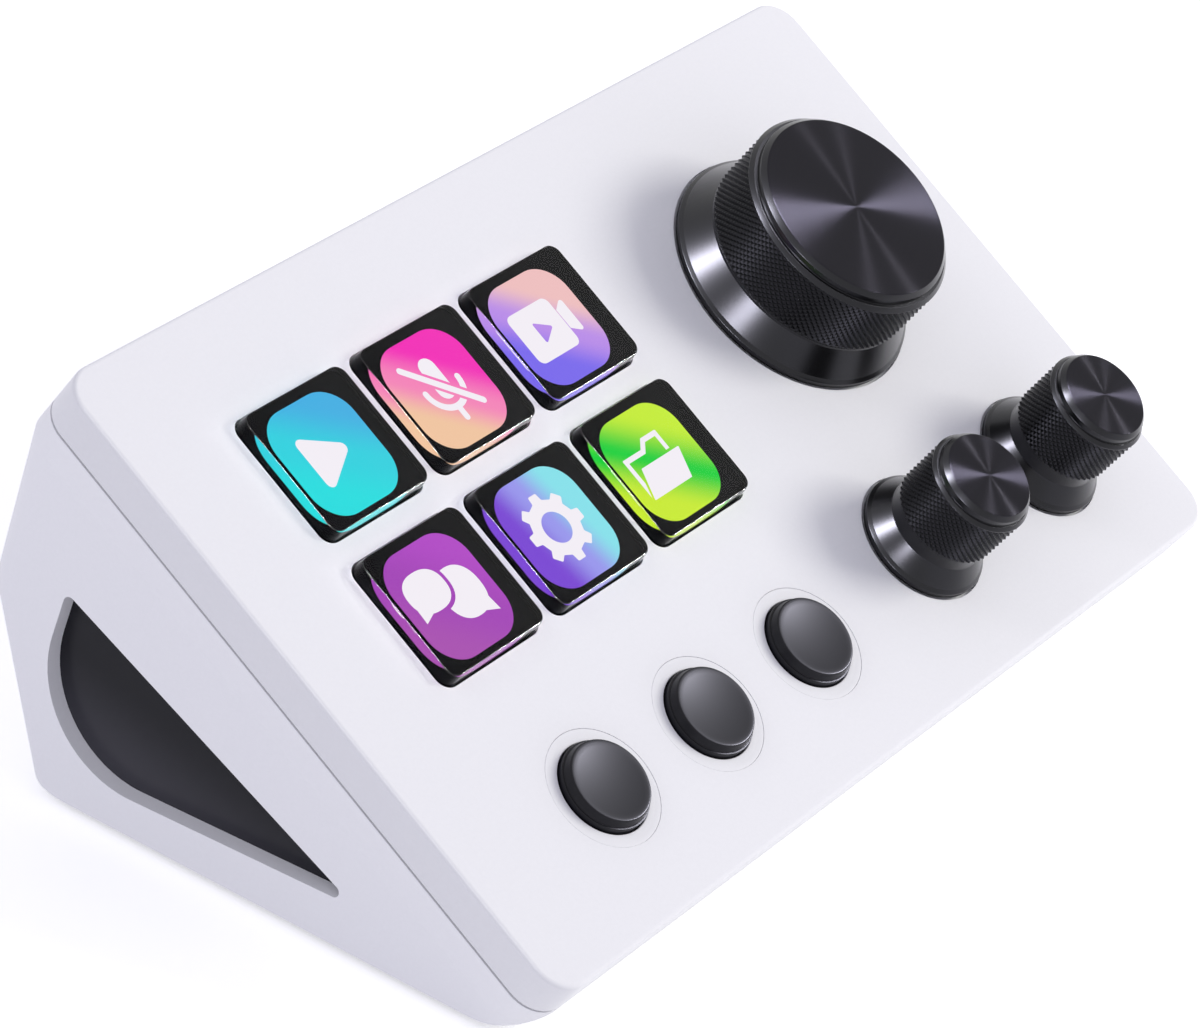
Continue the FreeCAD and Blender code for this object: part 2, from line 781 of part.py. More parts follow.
def cut_base_opening(shell):
    """The seat for the base plate, the opening above it, and bosses for the plate's screws."""
    bosses = base_sketch(shell, "plate_recess + plate_thickness")
    for x, out in base_screw_places():
        circle(bosses, "base_boss_radius", x, out)
    pad(shell, bosses, "floor + base_boss_height - plate_recess - plate_thickness")
    middle = "(plate_front + plate_back) / 2"
    seat = base_sketch(shell, "plate_recess + plate_thickness")
    rectangle(seat, "plate_width + 2 * plate_gap", "plate_back - plate_front + 2 * plate_gap",
              "plate_corner + plate_gap", y=middle)
    pocket(shell, seat, "floor")
    opening = base_sketch(shell, "floor")
    rectangle(opening, "plate_width - 4 * base_boss_radius - 2 * base_screw_inset",
              "plate_back - plate_front - 2 * ledge", "plate_corner", y=middle)
    pocket(shell, opening, "floor")
    holes = base_sketch(shell, "0")
    for x, out in base_screw_places():
        circle(holes, "screw_radius + screw_gap", x, out)
    pocket(shell, holes, "plate_recess + screw_length + screw_gap", up=True)


def recess_corners():
    """The outline of the side recess in the side view."""
    return [
        ("recess_tip_out", "recess_tip_up", "recess_tip_radius"),
        ("recess_heel_out", "recess_heel_up", "recess_heel_round"),
        ("recess_top_out", "recess_top_up", "recess_top_radius"),
    ]


def inset_corners():
    """The outline of the inset panel, which laps the recess's edge from inside."""
    return [
        ("recess_tip_out - 2 * inset_top_margin", "recess_tip_up - inset_low_margin", "recess_tip_radius"),
        ("recess_heel_out + inset_back_margin", "recess_heel_up - inset_low_margin", "inset_heel_round"),
        ("recess_top_out + inset_back_margin", "recess_top_up + inset_top_margin", "recess_top_radius"),
    ]


def cut_side_windows(shell):
    """One window through each side wall, over the dark inset panel behind it."""
    window = side_sketch(shell)
    outline(window, recess_corners())
    pocket(shell, window, "4 * panel_width", both=True)


def cut_port_slot(shell):
    """The slot in the back wall that the plug socket looks through."""
    slot = sketch(shell, "XZ_Plane", "-(port_mouth + back_wall)")
    radius = "port_height / 2"
    rectangle(slot, "port_width + 2 * port_gap", "port_height + 2 * port_gap", radius, y="-port_middle")
    pocket(shell, slot, "4 * back_wall", up=True)


def make_side_insets():
    """A dark panel behind each side window, flat against the flared wall."""
    for label, side in (("side_inset_left", -1), ("side_inset_right", 1)):
        panel = body("Inset")
        drawing = side_sketch(panel)
        outline(drawing, inset_corners())
        pad(panel, drawing, "inset_thickness", down=(side > 0))
        wall = "panel_width / 2 - side_wall - stop_gap / cos(side_flare) - band_depth * tan(side_flare)"
        place(panel, x=f"{side} * ({wall})", angle=f"{-side} * side_flare", axis=Vector(0, 1, 0))
        upright = group("InsetPanel", [panel])
        on_panel(upright)
        node(upright, label)


def make_base_plate():
    """The steel plate that closes the bottom, with countersunk screw holes."""
    plate = body("Plate")
    drawing = sketch(plate)
    rectangle(drawing, "plate_width", "plate_back - plate_front", "plate_corner",
              y="(plate_front + plate_back) / 2")
    pad(plate, drawing, "plate_thickness")
    place(plate, "0", "front_y", "stand + plate_recess")
    doc.recompute()
    sinks = []
    for x, out in base_screw_places():
        low = f"{out} + front_y"
        sinks.append(flat_screw_shape("Sink", x, low, "screw_gap", "overrun"))
    whole = cut("BasePlate", plate, group("Sinks", sinks))
    node(whole, "base_plate")


def flat_screw_shape(name, x, y, clear, past):
    """A countersunk screw, head down in the plate's underside, or its hole when clear is a gap."""
    foot = "stand + plate_recess"
    head = cone(name, f"screw_head_radius + {clear}", f"screw_radius + {clear}", "screw_head_height",
                (x, y, foot))
    shank = rod(name, f"screw_radius + {clear}", f"screw_length + {past}", (x, y, foot))
    if past == "0":
        return fuse(name, [head, shank])
    below = rod(name, f"screw_head_radius + {clear}", past, (x, y, f"{foot} - {past}"))
    return fuse(name, [head, shank, below])


def make_base_screws():
    screws = []
    for x, out in base_screw_places():
        solid = flat_screw_shape("BaseScrew", x, f"{out} + front_y", "0", "0")
        drive = rod("Drive", "socket_radius", "socket_depth", (x, f"{out} + front_y", "stand + plate_recess"))
        screws.append(cut("BaseScrew", solid, drive))
    node(group("BaseScrews", screws), "base_screws")


def make_feet():
    """Four rubber pads under the base plate."""
    pads = []
    for x, out in corner_places("foot_spread", "foot_front", "foot_back"):
        pads.append(rod("Foot", "foot_radius", "foot_thickness", (x, f"{out} + front_y", "0")))
    node(group("Feet", pads), "rubber_feet")


def pan_screws(name, label, places, seat, length):
    """Screws driven up into the cover's posts, with their heads below seat."""
    screws = []
    for x, up in places:
        head = rod(name, "screw_head_radius", "screw_head_height", (x, up, f"-({seat}) - screw_head_height"))
        shank = rod(name, "screw_radius", length, (x, up, f"-({seat})"))
        drive = rod(name, "socket_radius", "socket_depth", (x, up, f"-({seat}) - screw_head_height"))
        screws.append(cut(name, fuse(name, [head, shank]), drive))
    whole = group(name, screws)
    on_panel(whole)
    node(whole, label)


def make_panel_screws():
    pan_screws("CoverScrew", "cover_screws", cover_screw_places(), "seam_ledge",
               "seam_ledge - cover_plate - screw_gap")
    pan_screws("BoardScrew", "board_screws", board_screw_places(), "board_under",
               "board_under - cover_plate - screw_gap")


def make_board():
    """The circuit board on the cover's posts, with its two chips underneath."""
    board = body("Board")
    drawing = sketch(board, level="-board_under")
    rectangle(drawing, "board_width", "board_back - board_front", "board_corner",
              y="(board_front + board_back) / 2")
    pad(board, drawing, "board_thickness")
    holes = sketch(board, level="-board_depth + overrun / 2")
    for x, up in board_screw_places():
        circle(holes, "screw_radius + screw_gap", x, up)
    pocket(board, holes, "board_thickness + overrun")
    on_panel(board)
    node(board, "main_board")
    low = "-board_under - chip_height"
    processor = block("Chip", ("chip_side", "chip_side", "chip_height"), ("chip_x", "chip_up", low))
    driver = block("Chip", ("driver_length", "driver_width", "chip_height"), ("driver_x", "driver_up", low))
    chips = group("Chips", [processor, driver])
    on_panel(chips)
    node(chips, "board_chips")


def make_port():
    """The plug socket under the board's back edge: a drawn metal shell and its tongue."""
    shell = body("Port")
    drawing = sketch(shell, "XZ_Plane", "-port_mouth")
    rectangle(drawing, "port_width", "port_height", "port_height / 2 - port_wall / 2", y="-port_middle")
    pad(shell, drawing, "port_length")
    inside = sketch(shell, "XZ_Plane", "-port_mouth")
    rectangle(inside, "port_width - 2 * port_wall", "port_height - 2 * port_wall",
              "port_height / 2 - port_wall - port_wall / 2", y="-port_middle")
    pocket(shell, inside, "port_length - port_floor", up=True)
    on_panel(shell)
    node(shell, "usb_port")
    tongue = block("Tongue", ("tongue_width", "port_length - port_floor - tongue_short", "tongue_height"),
                   ("-tongue_width / 2", "port_mouth - port_length + port_floor",
                    "-port_middle - tongue_height / 2"))
    whole = group("PortTongue", [tongue])
    on_panel(whole)
    node(whole, "usb_tongue")


def make_key(name, x, up):
    """One display key: a clear cap on a display, in a black carrier with a guide stem."""
    cap = body("KeyCap")
    low = sketch(cap, level="-key_base_depth")
    rectangle(low, "key_width", "key_length", "key_radius")
    pad(cap, low, "key_base_depth")
    high = sketch(cap)
    rectangle(high, "key_width", "key_length", "key_radius")
    pad(cap, high, "key_height", draft="-key_draft")
    top = value("key_height - key_edge / 10")
    round_edges(cap, lambda edge: edge.BoundBox.ZMin > top, "key_edge")
    on_panel(cap, x, up)
    node(cap, f"key_cap_{name}")

    display = body("Display")
    glass = sketch(display, level="-display_bottom")
    rectangle(glass, "key_width - 2 * display_rim", "key_length - 2 * display_rim", "key_radius / 2")
    pad(display, glass, "display_thickness")
    on_panel(display, x, up)
    node(display, f"key_display_{name}")

    carrier = body("Carrier")
    tray = sketch(carrier, level="-flange_bottom")
    rectangle(tray, "key_width", "key_length", "key_radius")
    pad(carrier, tray, "flange_bottom - key_base_depth")
    flange = sketch(carrier, level="-flange_bottom")
    rectangle(flange, "key_width + 2 * key_flange", "key_length + 2 * key_flange", "key_radius + key_flange")
    pad(carrier, flange, "key_flange_thickness")
    seat = sketch(carrier)
    rectangle(seat, "key_width - 2 * display_rim", "key_length - 2 * display_rim", "key_radius / 2")
    pocket(carrier, seat, "display_bottom")
    stem = sketch(carrier, level="-flange_bottom")
    rectangle(stem, "key_stem", "key_stem")
    pad(carrier, stem, "key_stem_length", down=True)
    on_panel(carrier, x, up)
    node(carrier, f"key_carrier_{name}")


def make_key_sockets():
    """The guide block under each key, on the board, which holds its return spring and contact."""
    blocks = []
    for name, x, up in key_places():
        side, hole = "key_socket_side", "(key_stem + 2 * guide_gap)"
        outer = block("Socket", (side, side, "board_depth - key_socket_top"),
                      (f"{x} - {side} / 2", f"{up} - {side} / 2", "-board_depth"))
        inner = block("Socket", (hole, hole, "board_depth"),
                      (f"{x} - {hole} / 2", f"{up} - {hole} / 2", "-board_depth - stop_gap"))
        blocks.append(cut("Socket", outer, inner))
    whole = group("KeySockets", blocks)
    on_panel(whole)
    node(whole, "key_sockets")


def make_button(name, x, up):
    """One round button cap and the switch plunger under its stem."""
    cap = body("ButtonCap")
    turned(cap, [
        ("0", "-plunger_top", "0"),
        ("button_stem_radius", "-plunger_top", "0"),
        ("button_stem_radius", "-button_flange_bottom", "0"),
        ("button_radius + button_flange", "-button_flange_bottom", "0"),
        ("button_radius + button_flange", "-button_flange_top", "0"),
        ("button_radius", "-button_flange_top", "0"),
        ("button_radius", "button_collar", "button_edge / 3"),
        ("button_radius - button_step", "button_collar", "0"),
        ("button_top_radius", "button_height", "button_edge"),
        ("0", "button_height", "0"),
    ])
    on_panel(cap, x, up)
    node(cap, f"button_cap_{name}")
    pin = rod("Plunger", "plunger_radius", "plunger_length", ("0", "0", "-plunger_top - plunger_length"))
    whole = group("ButtonPlunger", [pin])
    on_panel(whole, x, up)
    node(whole, f"button_plunger_{name}")


def make_button_rings():
    """The pale trim ring round each button, flush with the panel, with a flange behind it."""
    rings = []
    for name, x, up in button_places():
        face = rod("Ring", "ring_radius", "ring_bottom", (x, up, "-ring_bottom"))
        flange = rod("Ring", "ring_radius + ring_groove + ring_flange", "ring_flange_thickness",
                     (x, up, "-ring_bottom"))
        bore = rod("Ring", "button_radius + ring_gap", "ring_bottom + overrun",
                   (x, up, "-ring_bottom - stop_gap"))
        rings.append(cut("Ring", fuse("Ring", [face, flange]), bore))
    whole = group("ButtonRings", rings)
    on_panel(whole)
    node(whole, "button_rings")


def make_button_switches():
    """A small push switch on the board under each button."""
    switches = []
    for name, x, up in button_places():
        case = block("Switch", ("switch_side", "switch_side", "switch_height"),
                     (f"{x} - switch_side / 2", f"{up} - switch_side / 2", "-board_depth"))
        bore = rod("Switch", "plunger_radius + plunger_gap", "switch_height",
                   (x, up, "-board_depth + stop_gap * 4"))
        switches.append(cut("Switch", case, bore))
    whole = group("ButtonSwitches", switches)
    on_panel(whole)
    node(whole, "button_switches")


def knob_profile(family):
    """Half the section of a knob: foot, cone, knurled grip, shoulder, neck and top, then its bore."""
    def size(word):
        return f"{family}_{word}"
    return [
        (size("cavity_radius"), "0", "0"),
        (size("base_radius"), "0", "0"),
        (size("base_radius"), size("foot"), "0"),
        (size("foot_radius"), size("foot_top"), "0"),
        (size("waist_radius"), size("waist"), "0"),
        (size("waist_radius"), size("grip_start"), "0"),
        (size("grip_radius"), size("grip_start"), "0"),
        (size("grip_radius"), size("grip_end"), "0"),
        (size("shoulder_radius"), size("shoulder"), "0"),
        (size("neck_radius"), size("shoulder"), "0"),
        (size("neck_radius"), size("rim"), "0"),
        (size("top_radius"), size("height"), "0"),
        ("0", size("height"), "0"),
        ("0", "hub_end + hub_gap", "0"),
        ("hub_radius + hub_gap", "hub_end + hub_gap", "0"),
        ("hub_radius + hub_gap", "knob_roof", "0"),
        (size("cavity_radius"), "knob_roof", "0"),
    ]


def make_dial(name, family, x, up):
    """One knob with its hub, the encoder's shaft and the push pin under the shaft."""
    knob = body("Knob")
    turned(knob, knob_profile(family))
    on_panel(knob, x, up)
    node(knob, f"knob_{name}")

    hub = body("Hub")
    disc = sketch(hub, level="knob_roof")
    circle(disc, "hub_radius")
    pad(hub, disc, "hub_end - knob_roof")
    bore = sketch(hub, level="knob_roof")
    flatted_circle(bore, "shaft_radius + shaft_gap", "shaft_flat + shaft_gap")
    pocket(hub, bore, "shaft_end - knob_roof + shaft_gap", up=True)
    on_panel(hub, x, up)
    node(hub, f"knob_hub_{name}")

    shaft = body("Shaft")
    foot = sketch(shaft, level="-shaft_foot")
    circle(foot, "shaft_radius")
    pad(shaft, foot, "shaft_foot + knob_roof - stop_gap")
    tip = sketch(shaft, level="knob_roof - stop_gap")
    flatted_circle(tip, "shaft_radius", "shaft_flat")
    pad(shaft, tip, "shaft_end - knob_roof + stop_gap")
    on_panel(shaft, x, up)
    node(shaft, f"encoder_shaft_{name}")

    pin = rod("Pin", "pin_radius", "pin_length", ("0", "0", "-pin_top - pin_length"))
    whole = group("PushPin", [pin])
    on_panel(whole, x, up)
    node(whole, f"push_pin_{name}")


def flatted_circle(drawing, radius, flat):
    """A circle with a flat on its +y side, flat away from the centre."""
    reach = math.acos(value(flat) / value(radius))
    first, last = math.pi / 2 + reach, math.pi / 2 - reach + 2 * math.pi
    whole = Part.Circle(Vector(0, 0, 0), Vector(0, 0, 1), value(radius))
    arc = drawing.addGeometry(Part.ArcOfCircle(whole, first, last), False)
    side = value(radius) * math.sin(reach)
    chord = Part.LineSegment(Vector(side, value(flat), 0), Vector(-side, value(flat), 0))
    line = drawing.addGeometry(chord, False)
    drawing.addConstraint(Sketcher.Constraint("Coincident", arc, 2, line, 1))
    drawing.addConstraint(Sketcher.Constraint("Coincident", line, 2, arc, 1))
    drawing.addConstraint(Sketcher.Constraint("Coincident", arc, 3, -1, 1))
    drawing.addConstraint(Sketcher.Constraint("Horizontal", line))
    dimension(drawing, "Radius", arc, formula=radius)
    dimension(drawing, "DistanceY", -1, 1, line, 1, formula=flat)


def make_encoder_body(name, x, up):
    """The fixed part of an encoder: a square case, its bushing, and the bores for shaft and pin."""
    case = body("Encoder")
    square = sketch(case, level="-board_depth")
    rectangle(square, "encoder_side", "encoder_side")
    pad(case, square, "board_depth - encoder_top")
    neck = sketch(case, level="-encoder_top")
    circle(neck, "bushing_radius")
    pad(case, neck, "encoder_top + bushing_height")
    shaft_bore = sketch(case, level="bushing_height")
    circle(shaft_bore, "shaft_radius + shaft_gap")
    pocket(case, shaft_bore, "bushing_height + shaft_foot + dial_travel + shaft_gap")
    pin_bore = sketch(case, level="bushing_height")
    circle(pin_bore, "pin_radius + shaft_gap")
    pocket(case, pin_bore, "bushing_height + pin_top + pin_length + dial_travel + shaft_gap")
    on_panel(case, x, up)
    node(case, f"encoder_body_{name}")


def make_encoder_nut():
    """The washer and the hexagonal nut that hold the big encoder to the bottom of its well."""
    plate = rod("Washer", "washer_radius", "washer_height", ("0", "0", "-well_depth"))
    hole = rod("Washer", "bushing_radius + bushing_gap", "overrun", ("0", "0", "-well_depth - stop_gap"))
    washer = cut("Washer", plate, hole)
    disc = group("EncoderWasher", [washer])
    on_panel(disc, "big_x", "big_up")
    node(disc, "encoder_washer")
    prism = doc.addObject("Part::Prism", "Nut")
    prism.Polygon = 6
    bind(prism, Circumradius="nut_side / cos(30)", Height="nut_height")
    place(prism, "0", "0", "washer_height - well_depth")
    bore = rod("Nut", "bushing_radius + bushing_gap", "nut_height + overrun", ("0", "0", "-well_depth"))
    nut = group("EncoderNut", [cut("Nut", prism, bore)])
    on_panel(nut, "big_x", "big_up")
    node(nut, "encoder_nut")


def check_document():
    """Stops if any feature failed or any sub-part is not one valid shape."""
    doc.recompute()
    for thing in doc.Objects:
        if "Invalid" in thing.State or "Error" in thing.State:
            raise ValueError(f"{thing.Label}: {thing.State}")
    for thing in nodes:
        if thing.Shape.isNull() or not thing.Shape.isValid() or not thing.Shape.Solids:
            raise ValueError(f"{thing.Label}: no valid solid")


def write_parts():
    os.makedirs("parts", exist_ok=True)
    for thing in nodes:
        thing.Shape.exportStep(f"parts/{thing.Label}.step")
        box = thing.Shape.BoundBox
        print(f"{thing.Label:20s} solids {len(thing.Shape.Solids)} volume {thing.Shape.Volume:10.2f}",
              f"x {box.XMin:7.2f} {box.XMax:7.2f} y {box.YMin:7.2f} {box.YMax:7.2f}",
              f"z {box.ZMin:7.2f} {box.ZMax:7.2f}")


make_top_cover()
make_lower_housing()
make_side_insets()
make_base_plate()
make_base_screws()
make_feet()
make_panel_screws()
make_board()
make_port()
for place_of_key in key_places():
    make_key(*place_of_key)
make_key_sockets()
for place_of_button in button_places():
    make_button(*place_of_button)
make_button_rings()
make_button_switches()
for place_of_dial in dial_places():
    make_dial(*place_of_dial)
    make_encoder_body(place_of_dial[0], place_of_dial[2], place_of_dial[3])
make_encoder_nut()
check_document()
write_parts()
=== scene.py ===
# %% [markdown]
# # A desk keypad with display keys and knobs
#
# The object is a white plastic wedge for a desk. Its sloping panel carries six square
# keys with a lit picture under a clear cap, three round charcoal buttons, and one big
# and two small black metal knobs. The solid model already holds every piece at its
# real size, so this lesson loads it as a fixed frame and gives each piece the surface
# that the real one has. All lengths are in metres.

# %% Load the solid model
import math
import bmesh
import bpy
from mathutils import Matrix, Vector


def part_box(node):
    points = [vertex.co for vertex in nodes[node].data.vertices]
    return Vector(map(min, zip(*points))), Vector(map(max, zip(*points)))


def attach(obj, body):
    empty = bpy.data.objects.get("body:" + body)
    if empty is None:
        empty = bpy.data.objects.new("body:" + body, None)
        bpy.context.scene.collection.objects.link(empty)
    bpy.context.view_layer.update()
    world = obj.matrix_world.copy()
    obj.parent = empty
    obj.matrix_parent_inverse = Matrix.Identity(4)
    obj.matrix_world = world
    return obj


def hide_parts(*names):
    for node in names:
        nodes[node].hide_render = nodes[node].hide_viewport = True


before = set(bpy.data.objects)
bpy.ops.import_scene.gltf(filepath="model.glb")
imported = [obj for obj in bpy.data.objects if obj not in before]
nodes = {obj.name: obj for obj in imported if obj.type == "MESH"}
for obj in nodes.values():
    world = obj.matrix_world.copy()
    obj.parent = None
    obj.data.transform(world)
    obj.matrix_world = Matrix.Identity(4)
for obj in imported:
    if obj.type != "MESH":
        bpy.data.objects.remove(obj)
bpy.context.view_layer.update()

# %% [markdown]
# The panel leans back by 30 degrees. Everything on it is easiest to place in the
# panel's own directions: across, up the slope, and straight out of its face. One
# matrix turns such a place into a place in the world.

# %% The panel's own directions
MM = 0.001
TILT = math.radians(30.0)
FRONT_EDGE = Vector((0, -38.117, 8.3)) * MM
PANEL = Matrix.Translation(FRONT_EDGE) @ Matrix.Rotation(TILT, 4, "X")
TURN = PANEL.to_3x3()
OUT = TURN @ Vector((0, 0, 1))


def on_panel(across, up, out):
    """A place on the panel, given in millimetres, as a place in the world."""
    return PANEL @ Vector((across * MM, up * MM, out * MM))


print("middle of the panel:", [round(c, 4) for c in on_panel(0, 40, 0)])

# %% [markdown]
# ## The camera
#
# The photograph was taken with a long lens from the left, high above the desk. Its
# place was worked out from the grid of keys, whose spacing is known. The three rows
# below are the picture's right, its down and the line of sight, in the panel's
# directions. A Blender camera looks along its own minus Z, so two rows change sign.

# %% Camera
RIGHT = Vector((0.57901, -0.63042, 0.51702))
DOWN = Vector((-0.36950, -0.76817, -0.52285))
AHEAD = Vector((0.72678, 0.11170, -0.67772))
CAMERA_PLACE = on_panel(-407.9, -21.3, 365.3)
FOCAL_LENGTH, PICTURE_WIDTH = 5075, 1200  # both in pixels of the photograph
SENSOR = 36.0
axes = [TURN @ RIGHT, -(TURN @ DOWN), -(TURN @ AHEAD)]
camera_data = bpy.data.cameras.new("Camera")
camera_data.sensor_width = SENSOR
camera_data.lens = SENSOR * FOCAL_LENGTH / PICTURE_WIDTH
camera_data.clip_start, camera_data.clip_end = 0.01, 20.0
camera = bpy.data.objects.new("Camera", camera_data)
bpy.context.scene.collection.objects.link(camera)
camera.matrix_world = Matrix.Translation(CAMERA_PLACE) @ Matrix(axes).transposed().to_4x4()
bpy.context.scene.camera = camera
print("camera at", [round(c, 3) for c in CAMERA_PLACE], "lens", round(camera_data.lens, 1), "mm")

# %% [markdown]
# ## Floor, sky and lamps
#
# A product picture like this one is lit by large soft lamps over a white sweep. The
# lamps are area lights, because their size sets how soft a shadow is. The floor and
# the sky turn pure white only for the rays that come from the camera or leave a
# mirror or glass, so they don't add light to the object. The floor turns white with a
# little glow on top of its own shade, so that the object's shadow stays on it.
#
# Lamps that are only shine draw the bright lines in the black metal and along the
# cover's edge, and light linking keeps each of them on the pieces that need it. Part of
# the side light is kept on the housing, so that the cover's skirt stays a shade darker.


# %% Floor and sky
def link(tree, source, target):
    """Joins two sockets."""
    tree.links.new(source, target)


def maths(tree, operation, first, second=0.0):
    """A Math node, each of whose two values is a socket or a number."""
    node = tree.nodes.new("ShaderNodeMath")
    node.operation = operation
    for socket, value in zip(node.inputs, (first, second)):
        if isinstance(value, bpy.types.NodeSocket):
            link(tree, value, socket)
        else:
            socket.default_value = value
    return node.outputs[0]


def white_for_camera(tree, plain, white):
    """Mixes two shaders: white to camera, mirror and glass rays, and plain to all others."""
    rays = tree.nodes.new("ShaderNodeLightPath").outputs
    seen = maths(tree, "MAXIMUM", rays["Is Camera Ray"], rays["Is Glossy Ray"])
    seen = maths(tree, "MAXIMUM", seen, rays["Is Transmission Ray"])
    mix = tree.nodes.new("ShaderNodeMixShader")
    link(tree, seen, mix.inputs[0])
    link(tree, plain, mix.inputs[1])
    link(tree, white, mix.inputs[2])
    return mix.outputs[0]


world = bpy.data.worlds.new("Sky")
bpy.context.scene.world = world
world.use_nodes = True
sky = world.node_tree
sky_light = sky.nodes["Background"]
sky_light.inputs["Color"].default_value = (0.87, 0.863, 1.0, 1)
sky_light.inputs["Strength"].default_value = 0.64
sky_white = sky.nodes.new("ShaderNodeBackground")
sky_white.inputs["Color"].default_value = (1, 1, 1, 1)
sky_white.inputs["Strength"].default_value = 1.0
sky_mix = white_for_camera(sky, sky_light.outputs[0], sky_white.outputs[0])
link(sky, sky_mix, sky.nodes["World Output"].inputs["Surface"])

bpy.ops.mesh.primitive_plane_add(size=6.0, location=(0, 0, -0.0001))
floor = bpy.context.object
floor.name = "Floor"
floor_finish = bpy.data.materials.new("floor_white")
floor_finish.use_nodes = True
tree = floor_finish.node_tree
paper = tree.nodes["Principled BSDF"]
paper.inputs["Base Color"].default_value = (0.90, 0.90, 0.91, 1)
paper.inputs["Roughness"].default_value = 0.9
paper.inputs["Specular IOR Level"].default_value = 0.1
paper_lift = tree.nodes.new("ShaderNodeEmission")
paper_lift.inputs["Strength"].default_value = 0.45
paper_sum = tree.nodes.new("ShaderNodeAddShader")
link(tree, paper.outputs[0], paper_sum.inputs[0])
link(tree, paper_lift.outputs[0], paper_sum.inputs[1])
paper_mix = white_for_camera(tree, paper.outputs[0], paper_sum.outputs[0])
link(tree, paper_mix, tree.nodes["Material Output"].inputs["Surface"])
floor.data.materials.append(floor_finish)
bpy.context.scene.view_settings.view_transform = "Standard"
print("floor", [round(d, 2) for d in floor.dimensions])


# %% Lamps
LAMP_AIM, LAMP_DISTANCE = on_panel(10, 40, 5), 1.2
LAVENDER = (0.93, 0.92, 1.0)
LIGHT_ON = {word: bpy.data.collections.new(f"light on {word}")
            for word in ("knobs", "knurls", "buttons", "caps", "cover", "housing")}
LIGHT_ON["cover"].objects.link(nodes["top_cover"])
for name in ("lower_housing", "base_plate", "rubber_feet"):
    LIGHT_ON["housing"].objects.link(nodes[name])


def lamp(name, toward, width, length, watts, along=(0, 0, 1), colour=(1, 1, 1), light=True, shine=True,
         only=None):
    """A rectangular lamp in a direction given in the panel's own terms, with its length turned along
    another. It can give light, shine in glossy faces or both, and can be kept on some pieces only."""
    data = bpy.data.lights.new(name, "AREA")
    data.shape = "RECTANGLE"
    data.size, data.size_y = width, length
    data.energy = watts
    data.color = colour
    piece = bpy.data.objects.new(name, data)
    bpy.context.scene.collection.objects.link(piece)
    facing = (TURN @ Vector(toward)).normalized()
    side = (TURN @ Vector(along)).cross(facing).normalized()
    axes = Matrix((side, facing.cross(side), facing)).transposed()
    piece.matrix_world = Matrix.Translation(LAMP_AIM + facing * LAMP_DISTANCE) @ axes.to_4x4()
    piece.visible_diffuse, piece.visible_glossy, piece.visible_transmission = light, shine, light and shine
    if only:
        piece.light_linking.receiver_collection = LIGHT_ON[only]


def shine(name, toward, width, length, watts, only, along=(0, 0, 1), colour=(1, 1, 1)):
    """A lamp that shows only in the glossy faces of some pieces."""
    lamp(name, toward, width, length, watts, along, colour, light=False, only=only)


lamp("Key lamp", (0.62, -0.30, 0.73), 0.45, 0.45, 8.3, colour=(1.0, 0.985, 0.92), shine=False)
lamp("Back lamp", (-0.52, 0.71, 0.45), 0.35, 0.5, 1.0, shine=False)
lamp("Side lamp", (-1.0, -0.15, 0.12), 0.8, 0.5, 1.2, colour=LAVENDER, shine=False)
lamp("Housing lamp", (-1.0, -0.15, 0.12), 0.8, 0.5, 2.1, colour=(0.94, 0.93, 1.0), shine=False,
     only="housing")
shine("Edge shine", (-0.677, 0.112, 0.726), 0.20, 0.30, 9.0, "cover")
shine("Flare shine", (-0.55, 0.73, 0.38), 0.26, 0.60, 36.0, "knobs", colour=LAVENDER)
shine("Low flare shine", (-0.93, -0.05, 0.36), 0.30, 0.40, 16.0, "knobs", colour=LAVENDER)
shine("Knurl shine", (-0.80, -0.40, 0.45), 0.20, 0.30, 3.4, "knurls", colour=LAVENDER)
shine("Wedge shine", (0.41, 0.264, 0.87), 0.19, 0.40, 21.5, "knobs", (0.9, -0.43, 0), (0.92, 0.91, 1.0))
shine("First streak", (0.573, -0.146, 0.806), 0.012, 0.20, 1.1, "knobs", (0.51, 0.86, 0))
shine("Second streak", (0.733, -0.188, 0.654), 0.012, 0.20, 1.1, "knobs", (0, 1, 0))
shine("Button shine", (0.73, -0.27, 0.63), 0.25, 0.25, 37.0, "buttons", colour=(0.87, 0.86, 1.0))
shine("Cap side shine", (-0.35, 0.1, 0.93), 0.25, 0.25, 24.0, "caps")
shine("Cap front shine", (0.73, -0.42, 0.55), 0.20, 0.20, 36.0, "caps")

# %% [markdown]
# ## Finishes
#
# Every finish starts from the Principled shader. A helper makes the material and sets
# the values that are the same all over, and small nodes then add what varies: a fine
# moulding grain, or the rings that a lathe leaves.


# %% A helper for finishes
def finish(name, colour, roughness, metallic=0.0, **more):
    """A new material with its Principled shader set, and that shader."""
    material = bpy.data.materials.new(name)
    material.use_nodes = True
    shader = material.node_tree.nodes["Principled BSDF"]
    shader.inputs["Base Color"].default_value = (*colour, 1)
    shader.inputs["Roughness"].default_value = roughness
    shader.inputs["Metallic"].default_value = metallic
    for word, amount in more.items():
        shader.inputs[word.replace("_", " ")].default_value = amount
    return material, shader


